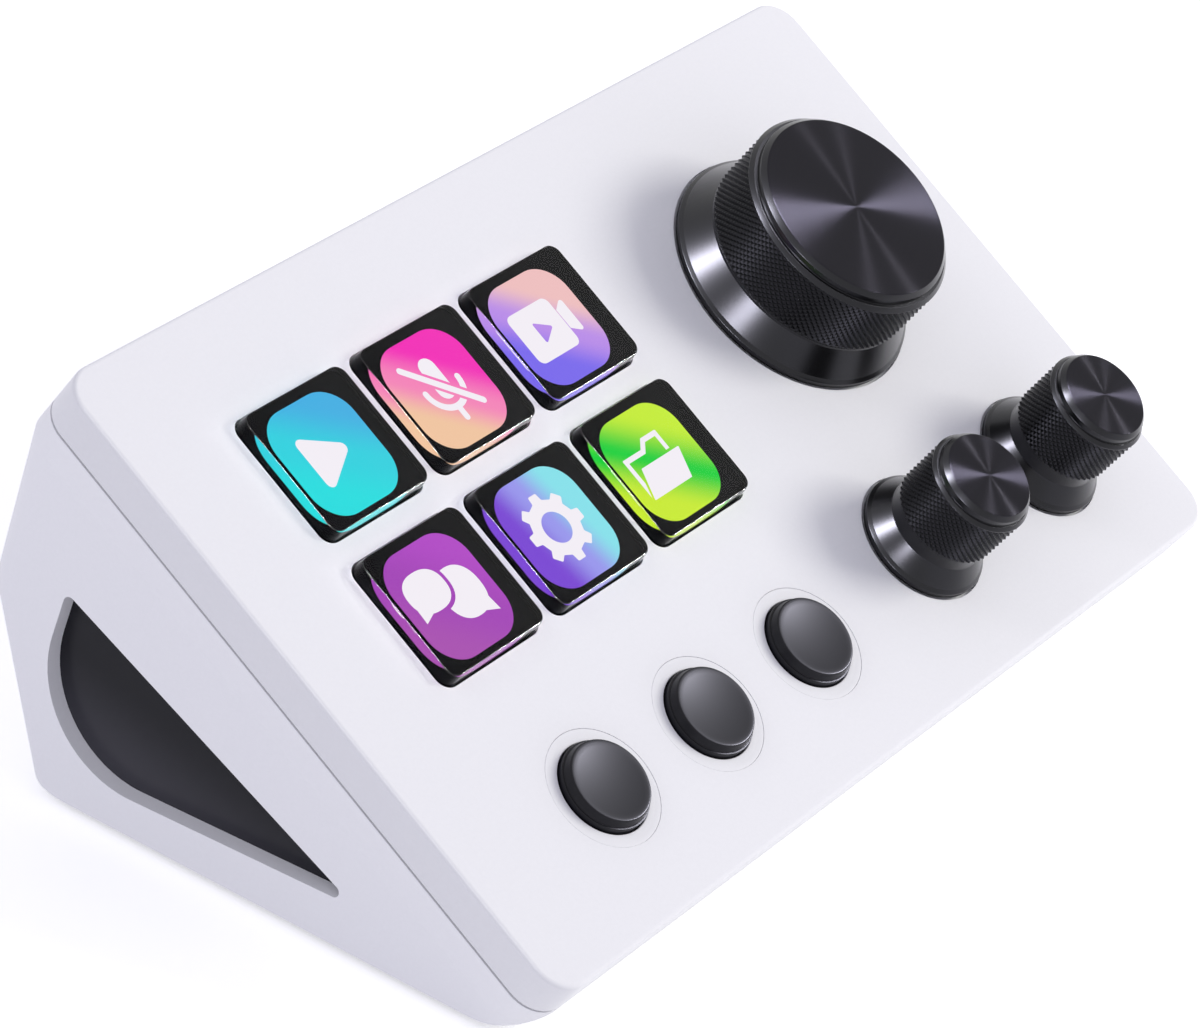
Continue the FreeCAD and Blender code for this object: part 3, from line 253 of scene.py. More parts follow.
def grain(material, shader, scale, strength, distance, stretch=(1, 1, 1)):
    """Adds a fine bump from noise in the object's own space."""
    tree = material.node_tree
    place = tree.nodes.new("ShaderNodeTexCoord")
    mapping = tree.nodes.new("ShaderNodeMapping")
    mapping.inputs["Scale"].default_value = stretch
    noise = tree.nodes.new("ShaderNodeTexNoise")
    noise.inputs["Scale"].default_value = scale
    noise.inputs["Detail"].default_value = 3.0
    bump = tree.nodes.new("ShaderNodeBump")
    bump.inputs["Strength"].default_value = strength
    bump.inputs["Distance"].default_value = distance
    link(tree, place.outputs["Object"], mapping.inputs["Vector"])
    link(tree, mapping.outputs["Vector"], noise.inputs["Vector"])
    link(tree, noise.outputs["Fac"], bump.inputs["Height"])
    link(tree, bump.outputs["Normal"], shader.inputs["Normal"])
    return noise


def vary(material, shader, noise, dark, light):
    """Lets the noise drive the colour between two close values."""
    tree = material.node_tree
    ramp = tree.nodes.new("ShaderNodeValToRGB")
    ramp.color_ramp.elements[0].color = (*dark, 1)
    ramp.color_ramp.elements[1].color = (*light, 1)
    ramp.color_ramp.elements[0].position = 0.3
    ramp.color_ramp.elements[1].position = 0.7
    link(tree, noise.outputs["Fac"], ramp.inputs["Fac"])
    link(tree, ramp.outputs["Color"], shader.inputs["Base Color"])


# %% [markdown]
# The shell is a satin white moulding, a little cool in tone. Its grain is too fine to
# be seen as such, but it breaks up reflections so that they look soft. A piece that
# isn't drawn anew later takes its finish by its name, or by the start of its name.

# %% Plain finishes
white_shell, shader = finish("white_shell", (0.845, 0.845, 0.862), 0.42, Specular_IOR_Level=0.4)
noise = grain(white_shell, shader, 2500, 0.05, 0.00005)
vary(white_shell, shader, noise, (0.838, 0.838, 0.855), (0.852, 0.852, 0.869))
dark_inset, shader = finish("dark_inset", (0.009, 0.009, 0.012), 0.25, Specular_IOR_Level=0.17)
grain(dark_inset, shader, 900, 0.02, 0.00003)
ring_plastic, shader = finish("ring_plastic", (0.845, 0.845, 0.862), 0.35)
grain(ring_plastic, shader, 2500, 0.04, 0.00004)
button_black, shader = finish("button_black", (0.007, 0.007, 0.010), 0.34, Specular_IOR_Level=0.20)
grain(button_black, shader, 3000, 0.03, 0.00002)
key_black, shader = finish("key_black", (0.006, 0.006, 0.008), 0.35)
grain(key_black, shader, 2000, 0.03, 0.00003)
foot_rubber, shader = finish("foot_rubber", (0.02, 0.02, 0.021), 0.75)
grain(foot_rubber, shader, 1500, 0.25, 0.0001)
plate_steel, shader = finish("plate_steel", (0.62, 0.62, 0.65), 0.5)
grain(plate_steel, shader, 1200, 0.2, 0.00008)
screw_steel, shader = finish("screw_steel", (0.62, 0.62, 0.63), 0.28, 1.0)
grain(screw_steel, shader, 1800, 0.08, 0.00003)
port_steel, shader = finish("port_steel", (0.68, 0.68, 0.70), 0.22, 1.0)
grain(port_steel, shader, 1500, 0.04, 0.00002, (1, 6, 6))
inner_plastic, shader = finish("inner_plastic", (0.02, 0.02, 0.022), 0.5)
grain(inner_plastic, shader, 1500, 0.1, 0.00004)
board_green, shader = finish("board_green", (0.01, 0.10, 0.045), 0.3)
noise = grain(board_green, shader, 500, 0.1, 0.00005)
vary(board_green, shader, noise, (0.008, 0.085, 0.038), (0.012, 0.12, 0.055))
chip_black, shader = finish("chip_black", (0.015, 0.015, 0.016), 0.55)
grain(chip_black, shader, 2500, 0.2, 0.00004)
encoder_metal, shader = finish("encoder_metal", (0.66, 0.66, 0.67), 0.3, 1.0)
grain(encoder_metal, shader, 1500, 0.05, 0.00003)
key_clear = finish("key_clear", (1.0, 1.0, 1.0), 0.0, Transmission_Weight=1.0, IOR=1.49,
                   Specular_Tint=(0.03, 0.03, 0.03, 1))[0]
key_edge = finish("key_edge", (1.0, 1.0, 1.0), 0.12, Transmission_Weight=1.0, IOR=1.49)[0]

CAD_FINISH = {
    "top_cover": white_shell, "lower_housing": white_shell, "base_plate": plate_steel,
    "rubber_feet": foot_rubber, "base_screws": screw_steel, "cover_screws": screw_steel,
    "board_screws": screw_steel, "side_inset_left": dark_inset, "side_inset_right": dark_inset,
    "button_rings": ring_plastic, "key_sockets": inner_plastic, "main_board": board_green,
    "board_chips": chip_black, "button_switches": inner_plastic, "usb_port": port_steel,
    "usb_tongue": chip_black, "encoder_body_big": encoder_metal, "encoder_body_left": encoder_metal,
    "encoder_body_right": encoder_metal, "encoder_nut": screw_steel, "encoder_washer": screw_steel,
}
STARTS = (("key_cap", key_clear), ("key_display", key_black), ("key_carrier", key_black),
          ("button_cap", button_black), ("button_plunger", inner_plastic), ("knob_hub", inner_plastic),
          ("knob", button_black), ("push_pin", screw_steel), ("encoder_shaft", encoder_metal))
for name, piece in nodes.items():
    chosen = CAD_FINISH.get(name) or next(material for start, material in STARTS if name.startswith(start))
    piece.data.materials.clear()
    piece.data.materials.append(chosen)
print("finishes on", len(nodes), "solid pieces")

# %% [markdown]
# ## Shapes from an outline
#
# Most pieces on the panel are either turned on a lathe or moulded as a rounded block.
# Both come from a flat outline whose corners are rounded a little, because a real edge
# is never perfectly sharp: the small round is what catches the light.


# %% Outlines with rounded corners
def softened(corners, steps=5):
    """Turns corners (a, b, radius) into points, with an arc of steps parts at each corner."""
    points = []
    for i, (a, b, radius) in enumerate(corners):
        here = Vector((a, b))
        if radius <= 0:
            points.append(here)
            continue
        back = (Vector(corners[i - 1][:2]) - here).normalized()
        on = (Vector(corners[(i + 1) % len(corners)][:2]) - here).normalized()
        half = back.angle(on) / 2
        start, end = here + back * radius / math.tan(half), here + on * radius / math.tan(half)
        centre = here + (back + on).normalized() * radius / math.sin(half)
        first, last = start - centre, end - centre
        sweep = first.angle_signed(last)
        for k in range(steps + 1):
            turned = first.copy()
            turned.rotate(Matrix.Rotation(-sweep * k / steps, 2))
            points.append(centre + turned)
    return points


def finished_piece(name, mesh, body, materials, stands_for=(), smooth=35):
    """Links a mesh as a piece, smooths it, gives it its finishes and lets it ride on its body."""
    for material in materials:
        mesh.materials.append(material)
    mesh.polygons.foreach_set("use_smooth", [True] * len(mesh.polygons))
    mesh.set_sharp_from_angle(angle=math.radians(smooth))
    piece = bpy.data.objects.new(name, mesh)
    bpy.context.scene.collection.objects.link(piece)
    if stands_for:
        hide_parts(*stands_for)
    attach(piece, body)
    return piece


square = softened([(0, 0, 1), (9, 0, 1), (9, 9, 1), (0, 9, 1)])
print("a square with round corners has", len(square), "points")


# %% A lathe
def join_rings(maker, rings, count):
    """Makes the faces between each ring and the next. A ring has count points, or a single one."""
    made = []
    for lower, upper in zip(rings, rings[1:]):
        for k in range(count):
            corners = [lower[k % len(lower)], lower[(k + 1) % len(lower)],
                       upper[(k + 1) % len(upper)], upper[k % len(upper)]]
            distinct = list(dict.fromkeys(corners))
            if len(distinct) > 2:
                made.append(maker.faces.new(distinct))
    return made


def mesh_of(maker, name):
    """The mesh that has been drawn up in the maker."""
    mesh = bpy.data.meshes.new(name)
    maker.to_mesh(mesh)
    maker.free()
    return mesh


def lathe_mesh(name, profile, across, up, segments, closed=True):
    """A solid turned about the line straight out of the panel at across, up. The profile's points
    are (radius, height) in millimetres; one that lies on the line becomes a single point."""
    maker = bmesh.new()
    rings = []
    for radius, height in profile:
        if radius < 1e-6:
            rings.append([maker.verts.new(on_panel(across, up, height))])
            continue
        ring = []
        for k in range(segments):
            angle = 2 * math.pi * k / segments
            ring.append(maker.verts.new(on_panel(across + radius * math.cos(angle),
                                                 up + radius * math.sin(angle), height)))
        rings.append(ring)
    join_rings(maker, rings + rings[:1] if closed else rings, segments)
    bmesh.ops.recalc_face_normals(maker, faces=maker.faces)
    return mesh_of(maker, name)


# %% A rounded block
def block_ring(width, length, radius):
    """The outline of a rounded rectangle about its middle, in millimetres."""
    half_x, half_y = width / 2, length / 2
    corners = [(-half_x, -half_y, radius), (half_x, -half_y, radius),
               (half_x, half_y, radius), (-half_x, half_y, radius)]
    return softened(corners, 8)


def block_mesh(name, layers, across, up):
    """A block built up from layers (width, length, corner radius, height), closed at both ends."""
    maker = bmesh.new()
    rings = []
    for width, length, radius, height in layers:
        points = block_ring(width, length, radius)
        rings.append([maker.verts.new(on_panel(across + p.x, up + p.y, height)) for p in points])
    join_rings(maker, rings, len(rings[0]))
    maker.faces.new(list(reversed(rings[0])))
    maker.faces.new(rings[-1])
    bmesh.ops.recalc_face_normals(maker, faces=maker.faces)
    return mesh_of(maker, name)


print("a lathe and a block maker are ready")

# %% [markdown]
# ## Display keys
#
# Each key is a little sandwich: a clear cap, a display glued to its underside, and a
# black carrier. The cap is real glass to the renderer, with the light bending as in
# acrylic, so the coloured sliver in its side wall appears by itself, as on the real
# key. Because the display is glued on with no air gap, its lit face sits just inside
# the cap's volume. A shallow black tray round it is the printed border.

# %% Key places and caps
ROWS, COLUMNS, FIRST_KEY, KEY_PITCH = 2, 3, (-42.18, 40.10), (18.98, 19.03)
KEY_PLACES = {str(row * COLUMNS + column + 1): (FIRST_KEY[0] + KEY_PITCH[0] * column,
                                                FIRST_KEY[1] + KEY_PITCH[1] * row)
              for row in range(ROWS) for column in range(COLUMNS)}
KEY_WIDTH, KEY_LENGTH, KEY_HEIGHT, KEY_BASE, KEY_CORNER = 16.5, 15.9, 1.72, -0.5, 1.5
KEY_LEAN, KEY_ROUND, KEY_CHAMFER, ROUND_STEPS = 0.20, 0.10, 0.05, 5
CORNER_SHRINK = 0.6  # how much of an inset the corner's radius loses


def cap_layers():
    """The cap's outline from its base to its top, with a small round at the top edge."""
    layers = [(KEY_WIDTH - 2 * KEY_CHAMFER, KEY_LENGTH - 2 * KEY_CHAMFER, KEY_CORNER - KEY_CHAMFER, KEY_BASE),
              (KEY_WIDTH, KEY_LENGTH, KEY_CORNER, KEY_BASE + KEY_CHAMFER),
              (KEY_WIDTH, KEY_LENGTH, KEY_CORNER, 0.0)]
    wall_top = KEY_HEIGHT - KEY_ROUND
    for k in range(ROUND_STEPS + 1):
        angle = math.pi / 2 * k / ROUND_STEPS
        inset = KEY_LEAN + KEY_ROUND * (1 - math.cos(angle))
        height = wall_top + KEY_ROUND * math.sin(angle)
        corner = KEY_CORNER - inset * CORNER_SHRINK
        layers.append((KEY_WIDTH - 2 * inset, KEY_LENGTH - 2 * inset, corner, height))
    return layers


for name, (across, up) in KEY_PLACES.items():
    mesh = block_mesh(f"cap_{name}", cap_layers(), across, up)
    for face in mesh.polygons:
        spot = PANEL.inverted() @ face.center / MM
        face.material_index = int(spot.z > KEY_HEIGHT - KEY_ROUND and face.normal.dot(OUT) < 0.99)
    cap = finished_piece(f"clear_cap_{name}", mesh, f"key_{name}", [key_clear, key_edge],
                         [f"key_cap_{name}"])
    LIGHT_ON["caps"].objects.link(cap)
print(len(KEY_PLACES), "clear caps")

# %% [markdown]
# The lit pictures are drawn with flat shapes: a pale sign on a field whose colour runs
# from one hue to another. The field's colours come from a gradient over the piece's own
# UV map, turned to run at a slant. Both give off light of their own, because a display
# shines rather than reflects.


# %% Display finishes
def glow_field(name, stops, angle):
    """A lit field whose colour runs through stops (place, colour) at a slant across the UV map."""
    material, shader = finish(name, (0.0, 0.0, 0.0), 0.6, Specular_IOR_Level=0.0, Emission_Strength=1.0)
    tree = material.node_tree
    uv = tree.nodes.new("ShaderNodeUVMap")
    uv.uv_map = "field"
    mapping = tree.nodes.new("ShaderNodeMapping")
    mapping.inputs["Rotation"].default_value = (0, 0, math.radians(-angle))
    mapping.inputs["Location"].default_value = (0.5, 0, 0)
    gradient = tree.nodes.new("ShaderNodeTexGradient")
    ramp = tree.nodes.new("ShaderNodeValToRGB")
    ramp.color_ramp.interpolation = "EASE"
    while len(ramp.color_ramp.elements) < len(stops):
        ramp.color_ramp.elements.new(0.5)
    for element, (place, colour) in zip(ramp.color_ramp.elements, stops):
        element.position = place
        element.color = (*[(c / 255) ** 2.2 for c in colour], 1)
    link(tree, uv.outputs["UV"], mapping.inputs["Vector"])
    link(tree, mapping.outputs["Vector"], gradient.inputs["Vector"])
    link(tree, gradient.outputs["Fac"], ramp.inputs["Fac"])
    link(tree, ramp.outputs["Color"], shader.inputs["Emission Color"])
    return material


sign_white = finish("sign_white", (0.0, 0.0, 0.0), 0.6, Specular_IOR_Level=0.0,
                    Emission_Color=(0.90, 0.86, 0.92, 1), Emission_Strength=1.0)[0]
mask_black = finish("mask_black", (0.0015, 0.0015, 0.002), 0.5, Specular_IOR_Level=0.0)[0]
print("display finishes ready")

# %% The colours of the six fields
# For each key: the slant of its field in degrees, then three stops (place, colour).
FIELD_STOPS = {
    "1": (45, (0.0, (168, 84, 176)), (0.5, (162, 72, 182)), (1.0, (176, 76, 196))),
    "2": (10, (0.16, (122, 74, 210)), (0.5, (152, 150, 236)), (0.85, (134, 224, 234))),
    "3": (52, (0.10, (200, 234, 56)), (0.5, (34, 206, 64)), (0.92, (196, 236, 58))),
    "4": (55, (0.1, (46, 220, 222)), (0.5, (54, 208, 222)), (0.95, (70, 174, 226))),
    "5": (50, (0.14, (240, 196, 160)), (0.46, (244, 132, 184)), (0.8, (242, 48, 182))),
    "6": (50, (0.16, (122, 106, 236)), (0.5, (184, 140, 232)), (0.84, (238, 190, 190))),
}
FIELDS = {name: glow_field(f"screen_{name}", stops, slant) for name, (slant, *stops) in FIELD_STOPS.items()}


# %% Flat shapes for the signs
def disc(across, up, radius_x, radius_y=None, power=2.0, count=48):
    """An ellipse, or with a higher power a fuller, squarer oval."""
    radius_y = radius_y or radius_x
    points = []
    for k in range(count):
        c, s = math.cos(2 * math.pi * k / count), math.sin(2 * math.pi * k / count)
        points.append(Vector((across + radius_x * math.copysign(abs(c) ** (2 / power), c),
                              up + radius_y * math.copysign(abs(s) ** (2 / power), s))))
    return points


def bar(start, end, width, fullness=0.98):
    """A straight stroke with ends that are round but for a short straight bit in the middle."""
    start, end = Vector(start), Vector(end)
    along = (end - start).normalized() * (width / 2)
    side = Vector((-along.y, along.x))
    box = [start - along - side, end + along - side, end + along + side, start - along + side]
    return softened([(p.x, p.y, width / 2 * fullness) for p in box], 6)


def arch(across, up, radius, width, first, last, count=24):
    """A curved stroke from one angle to another, in degrees."""
    angles = [math.radians(first + (last - first) * k / count) for k in range(count + 1)]
    outer = [Vector((across + (radius + width / 2) * math.cos(a), up + (radius + width / 2) * math.sin(a)))
             for a in angles]
    inner = [Vector((across + (radius - width / 2) * math.cos(a), up + (radius - width / 2) * math.sin(a)))
             for a in reversed(angles)]
    return outer + inner


def gear(radius, root, teeth):
    """A gear wheel's outline with slightly tapered teeth."""
    points = []
    for k in range(teeth):
        middle = 360 / teeth * k
        for offset, reach in ((-13, root), (-8.5, radius), (8.5, radius), (13, root)):
            angle = math.radians(middle + offset)
            points.append((reach * math.cos(angle), reach * math.sin(angle), 0.18))
    return softened(points, 3)


print("gear outline has", len(gear(4.3, 3.4, 8)), "points")

# %% [markdown]
# Each sign is a short stack of flat shapes, from the bottom up. A shape is either pale
# or has the field's own colour, which is how a slash or a gap is cut out of the shape
# below it. The signs are plain everyday pictograms: talk, settings, folder, play,
# muted microphone and camera.

# %% The six signs
PALE, FIELD = 1, 0
SIGNS = {
    "4": [(PALE, softened([(-3.41, 3.57, 0.7), (-3.41, -3.6, 0.7), (2.97, 0.0, 0.7)]))],
    "5": [(PALE, softened([(-1.05, -1.3, 1.15), (1.31, -1.3, 1.15), (1.31, 3.95, 1.15),
                           (-1.05, 3.95, 1.15)])),
          (PALE, arch(0.1, 0.4, 2.75, 0.78, 180, 360)), (PALE, bar((0.1, -2.4), (0.1, -3.85), 0.8)),
          (PALE, disc(-2.65, 0.4, 0.39)), (PALE, disc(2.85, 0.4, 0.39)),
          (FIELD, bar((-3.5, 3.95), (3.65, -3.2), 1.5)), (PALE, bar((-3.5, 3.95), (3.65, -3.2), 0.8))],
    "6": [(PALE, softened([(-4.7, -3.3, 0.9), (2.5, -3.3, 0.9), (2.5, 3.2, 0.9), (-4.7, 3.2, 0.9)])),
          (PALE, softened([(2.6, -1.3, 0.15), (4.3, -2.4, 0.35), (4.3, 2.3, 0.35), (2.6, 1.2, 0.15)])),
          (FIELD, softened([(-1.85, 1.35, 0.2), (-1.85, -1.5, 0.2), (0.6, -0.08, 0.2)]))],
    "1": [(PALE, disc(2.0, -0.35, 2.95, 3.1, 2.3)),
          (PALE, [Vector(p) for p in ((2.6, -3.2), (4.75, -4.0), (4.45, -1.7))]),
          (FIELD, disc(-2.0, 1.6, 3.45, 2.9, 2.4)),
          (PALE, disc(-2.0, 1.6, 2.98, 2.42, 2.4)),
          (PALE, [Vector(p) for p in ((-4.75, 0.6), (-4.85, -1.3), (-3.0, -0.6))])],
    "2": [(PALE, gear(4.3, 3.42, 8)), (FIELD, disc(0, 0, 1.9))],
    "3": [(PALE, softened([(-4.6, -3.25, 0.1), (2.6, -3.25, 0.1), (2.6, 3.3, 0.15), (-0.1, 3.3, 0.15),
                           (-1.2, 2.2, 0.15), (-4.6, 2.2, 0.15)])),
          (FIELD, [Vector(p) for p in ((-3.98, -3.0), (1.98, -3.0), (1.98, 2.68), (0.15, 2.68), (-0.95, 1.58),
                                       (-3.98, 1.58))]),
          (FIELD, [Vector(p) for p in ((-3.3, 0.75), (4.2, 0.75), (2.9, -3.4), (-4.8, -3.4))]),
          (PALE, softened([(-3.0, 0.42, 0.1), (3.9, 0.42, 0.1), (2.45, -3.25, 0.1), (-4.45, -3.25, 0.1)]))],
}
print({name: len(shapes) for name, shapes in SIGNS.items()})


# %% Display pieces
MODULE = [(-7.55, -7.25, 0.7), (7.55, -7.25, 0.7), (7.55, 7.25, 0.7), (-7.55, 7.25, 0.7)]
WINDOW = [(-6.31, -6.66, 3.9), (6.46, -6.66, 3.9), (6.46, 6.66, 3.9), (-6.31, 6.66, 3.9)]
SCREEN_TOP, SCREEN_BOTTOM, SCREEN_STEP, FIELD_SIZE = -0.46, -1.7, 0.004, 13.0
TRAY = [(16.2, 15.6, 1.4, -0.485), (16.2, 15.6, 1.4, -0.06), (16.1, 15.5, 1.35, -0.06),
        (16.1, 15.5, 1.35, SCREEN_TOP + 0.002)]
BLACK = 2  # beside PALE and FIELD, the third finish of a display


def display_mesh(name, shapes, across, up):
    """The black display module with its tray, its lit window and the sign on top, as one mesh."""
    maker = bmesh.new()
    uv = maker.loops.layers.uv.new("field")

    def ring_at(outline, height):
        """One point of the mesh for each point of an outline round the key's middle."""
        return [maker.verts.new(on_panel(across + p.x, up + p.y, height)) for p in outline]

    for layers in ([ring_at(block_ring(*size), height) for *size, height in TRAY],
                   [ring_at(softened(MODULE), SCREEN_BOTTOM), ring_at(softened(MODULE), SCREEN_TOP)]):
        sides = join_rings(maker, layers, len(layers[0]))
        ends = [maker.faces.new(layers[-1]), maker.faces.new(list(reversed(layers[0])))]
        for face in sides + ends:
            face.material_index = BLACK
    for level, (kind, outline) in enumerate([(FIELD, softened(WINDOW, 10))] + shapes, start=1):
        face = maker.faces.new(ring_at(outline, SCREEN_TOP + level * SCREEN_STEP))
        face.material_index = kind
        face.normal_update()
        if face.normal.dot(OUT) < 0:
            face.normal_flip()
        for loop in face.loops:
            spot = PANEL.inverted() @ loop.vert.co / MM
            loop[uv].uv = ((spot.x - across) / FIELD_SIZE, (spot.y - up) / FIELD_SIZE)
    bmesh.ops.triangulate(maker, faces=[face for face in maker.faces if len(face.verts) > 4])
    return mesh_of(maker, name)


for name, (across, up) in KEY_PLACES.items():
    mesh = display_mesh(f"lit_display_{name}", SIGNS[name], across, up)
    finished_piece(f"lit_display_{name}", mesh, f"key_{name}",
                   [FIELDS[name], sign_white, mask_black], [f"key_display_{name}"])
print(len(SIGNS), "displays")

# %% [markdown]
# ## Buttons and their rings
#
# The three round buttons are satin charcoal caps with a shallow dish that a fingertip
# finds. Each stands in a flush white ring, which shows only as two thin lines. Both are
# turned shapes, so the lathe makes them from a short outline with small rounds. The dish
# picks up a soft sheen from a lamp of its own, which light linking keeps on the buttons.

# %% Buttons and rings
FIRST_BUTTON, BUTTON_PITCH = (-41.72, 14.87), 18.96
BUTTON_PLACES = {str(column + 1): (FIRST_BUTTON[0] + BUTTON_PITCH * column, FIRST_BUTTON[1])
                 for column in range(COLUMNS)}
BUTTON_SEGMENTS = 128
DISH_POINTS, DISH_STEP, DISH_EDGE, DISH_LOW, DISH_DEPTH = 12, 0.4, 4.4, 1.35, 0.24
DISH = [(DISH_EDGE - DISH_STEP * k, DISH_LOW + DISH_DEPTH * (1 - k / (DISH_POINTS - 1)) ** 2, 0)
        for k in range(DISH_POINTS)]
BUTTON_OUTLINE = [(0, -4.45, 0), (2.0, -4.45, 0), (2.0, -3.65, 0), (6.18, -3.65, 0), (6.18, -2.85, 0),
                  (5.28, -2.85, 0), (5.28, 0.6, 0.09), (5.08, 0.6, 0.03), (4.80, 1.6, 0.20)] + DISH
RING_OUTLINE = [(5.45, -2.8, 0), (7.88, -2.8, 0), (7.88, -2.02, 0), (6.96, -2.02, 0), (6.96, -0.01, 0.12),
                (6.2, -0.05, 0.3), (5.45, -0.02, 0.12)]
ring_parts = bmesh.new()
for name, (across, up) in BUTTON_PLACES.items():
    mesh = lathe_mesh(f"button_{name}", softened(BUTTON_OUTLINE), across, up, BUTTON_SEGMENTS, False)
    button = finished_piece(f"dished_button_{name}", mesh, f"button_{name}", [button_black],
                            [f"button_cap_{name}"])
    LIGHT_ON["buttons"].objects.link(button)
    mesh = lathe_mesh(f"ring_{name}", softened(RING_OUTLINE), across, up, BUTTON_SEGMENTS)
    ring_parts.from_mesh(mesh)
rings = mesh_of(ring_parts, "flush_rings")
finished_piece("flush_rings", rings, "root", [ring_plastic], ["button_rings"])
print(len(BUTTON_PLACES), "buttons,", len(rings.polygons), "faces in the rings")

# %% [markdown]
# ## Side insets
#
# A dark plate lies in the recess on each side, just under its rim. It starts from the
# solid plate's own mesh, moved a little toward the rim. A painted reflection is put into
# the plate's satin black: its colour grows paler from its straight top edge to its round
# belly and its front tip, so a gradient runs down the plate at a slant.

# %% The plates in the side recesses
NEARER = 0.4 * MM
SLANT = (TURN @ Vector((0, 0.3, 1))).normalized()


def painted_reflection_below(material, shader, top, belly, dark, pale):
    """Paints a reflection into the base colour: it runs from dark to pale between two heights, measured along
    the slant.
    """
    tree = material.node_tree
    place = tree.nodes.new("ShaderNodeTexCoord")
    height = tree.nodes.new("ShaderNodeVectorMath")
    height.operation = "DOT_PRODUCT"
    height.inputs[1].default_value = SLANT
    share = tree.nodes.new("ShaderNodeMapRange")
    share.inputs["From Min"].default_value, share.inputs["From Max"].default_value = top, belly
    ramp = tree.nodes.new("ShaderNodeValToRGB")
    ramp.color_ramp.interpolation = "EASE"
    ramp.color_ramp.elements[0].position = 0.4
    ramp.color_ramp.elements[0].color, ramp.color_ramp.elements[1].color = (*dark, 1), (*pale, 1)
    link(tree, place.outputs["Object"], height.inputs[0])
    link(tree, height.outputs["Value"], share.inputs["Value"])
    link(tree, share.outputs["Result"], ramp.inputs["Fac"])
    link(tree, ramp.outputs["Color"], shader.inputs["Base Color"])


# A painted reflection: the plate's colour grows paler from its top edge toward its belly.
heights = [SLANT.dot(spot.co) for spot in nodes["side_inset_left"].data.vertices]
painted_reflection_below(dark_inset, dark_inset.node_tree.nodes["Principled BSDF"], max(heights), min(heights),
            (0.009, 0.009, 0.012), (0.044, 0.043, 0.052))
for side, way in (("left", -1), ("right", 1)):
    mesh = nodes[f"side_inset_{side}"].data.copy()
    mesh.name = f"inset_plate_{side}"
    mesh.materials.clear()
    mesh.transform(Matrix.Translation((way * NEARER, 0, 0)))
    plate = finished_piece(f"inset_plate_{side}", mesh, "root", [dark_inset],
                           [f"side_inset_{side}"])
    LIGHT_ON["housing"].objects.link(plate)
print("plates moved", NEARER / MM, "mm toward the rim")

# %% [markdown]
# ## Knobs
#
# Each knob is turned from one bar: a flared foot, a knurled band for the grip and a flat
# top with a spun finish. The body comes off the lathe. The knurl is a band of small
# pyramids in diagonal rows, which follows a rule, so Geometry Nodes make it: a grid is
# wrapped round the knob, and every other corner is pushed in, as on a chessboard. The
# first and last rows are folded to the inside, which closes the band.

# %% Black metal
anodised, shader = finish("knob_black", (0.009, 0.009, 0.012), 0.27, 1.0, Coat_Weight=0.5,
                          Coat_Roughness=0.27)
grain(anodised, shader, 3500, 0.03, 0.00002)
knurled, shader = finish("knob_knurl", (0.019, 0.019, 0.022), 0.36, 1.0)
grain(knurled, shader, 3000, 0.05, 0.00002)
print("black metal ready")


# %% The spun top
TOP_SMOOTH, TOP_ROUGH = 0.20, 0.23


def spun_finish(name):
    """Black metal with fine rings round an axis. The shine is drawn out across the rings, and its
    direction comes from the mesh's own attribute, so it turns with the knob."""
    material, shader = finish(name, (0.018, 0.018, 0.021), TOP_SMOOTH, 1.0, Anisotropic=1.0)
    tree = material.node_tree
    outward = tree.nodes.new("ShaderNodeAttribute")
    outward.attribute_name = "from_axis"
    turned = tree.nodes.new("ShaderNodeVectorTransform")
    turned.vector_type, turned.convert_from, turned.convert_to = "VECTOR", "OBJECT", "WORLD"
    radius = tree.nodes.new("ShaderNodeVectorMath")
    radius.operation = "LENGTH"
    fine = tree.nodes.new("ShaderNodeTexNoise")
    fine.noise_dimensions = "1D"
    fine.inputs["Scale"].default_value = 9.0
    fine.inputs["Detail"].default_value = 4.0
    spread = tree.nodes.new("ShaderNodeMapRange")
    spread.inputs["To Min"].default_value = TOP_SMOOTH
    spread.inputs["To Max"].default_value = TOP_ROUGH
    link(tree, outward.outputs["Vector"], turned.inputs["Vector"])
    link(tree, turned.outputs["Vector"], shader.inputs["Tangent"])
    link(tree, outward.outputs["Vector"], radius.inputs[0])
    link(tree, radius.outputs["Value"], fine.inputs["W"])
    link(tree, fine.outputs["Fac"], spread.inputs["Value"])
    link(tree, spread.outputs["Result"], shader.inputs["Roughness"])
    vary(material, shader, fine, (0.0155, 0.0145, 0.019), (0.0215, 0.0205, 0.026))
    return material


spun = spun_finish("knob_spun_top")
print("spun finish ready:", spun.name)

# %% Knob outlines
BIG_OUTLINE = [(9.0, 0.0, 0), (15.34, 0.01, 0.08), (15.34, 0.70, 0.14), (14.93, 1.05, 0.12), (13.0, 4.1, 0.2),
               (13.0, 4.45, 0.03), (12.96, 4.45, 0.0), (12.96, 11.88, 0.0), (13.2, 11.92, 0.04),
               (13.2, 12.0, 0.04), (12.75, 12.45, 0.08), (12.36, 12.45, 0.05), (12.34, 13.15, 0.10),
               (11.8, 13.7, 0.12), (11.5, 13.7, 0), (0, 13.7, 0), (0, 11.05, 0), (4.25, 11.05, 0),
               (4.25, 4.2, 0), (9.0, 4.2, 0)]
SMALL_OUTLINE = [(4.1, 0.0, 0), (7.79, 0.01, 0.07), (7.79, 0.70, 0.12), (7.41, 1.05, 0.10), (5.95, 3.0, 0.35),
                 (5.95, 4.85, 0.05), (6.14, 4.85, 0.0), (6.14, 11.43, 0.0), (6.35, 11.47, 0.03),
                 (6.35, 11.6, 0.04), (6.0, 11.95, 0.07), (5.81, 11.95, 0.04), (5.79, 12.67, 0.08),
                 (5.3, 13.26, 0.10), (5.1, 13.26, 0), (0, 13.26, 0), (0, 11.05, 0), (4.25, 11.05, 0),
                 (4.25, 4.2, 0), (4.1, 4.2, 0)]
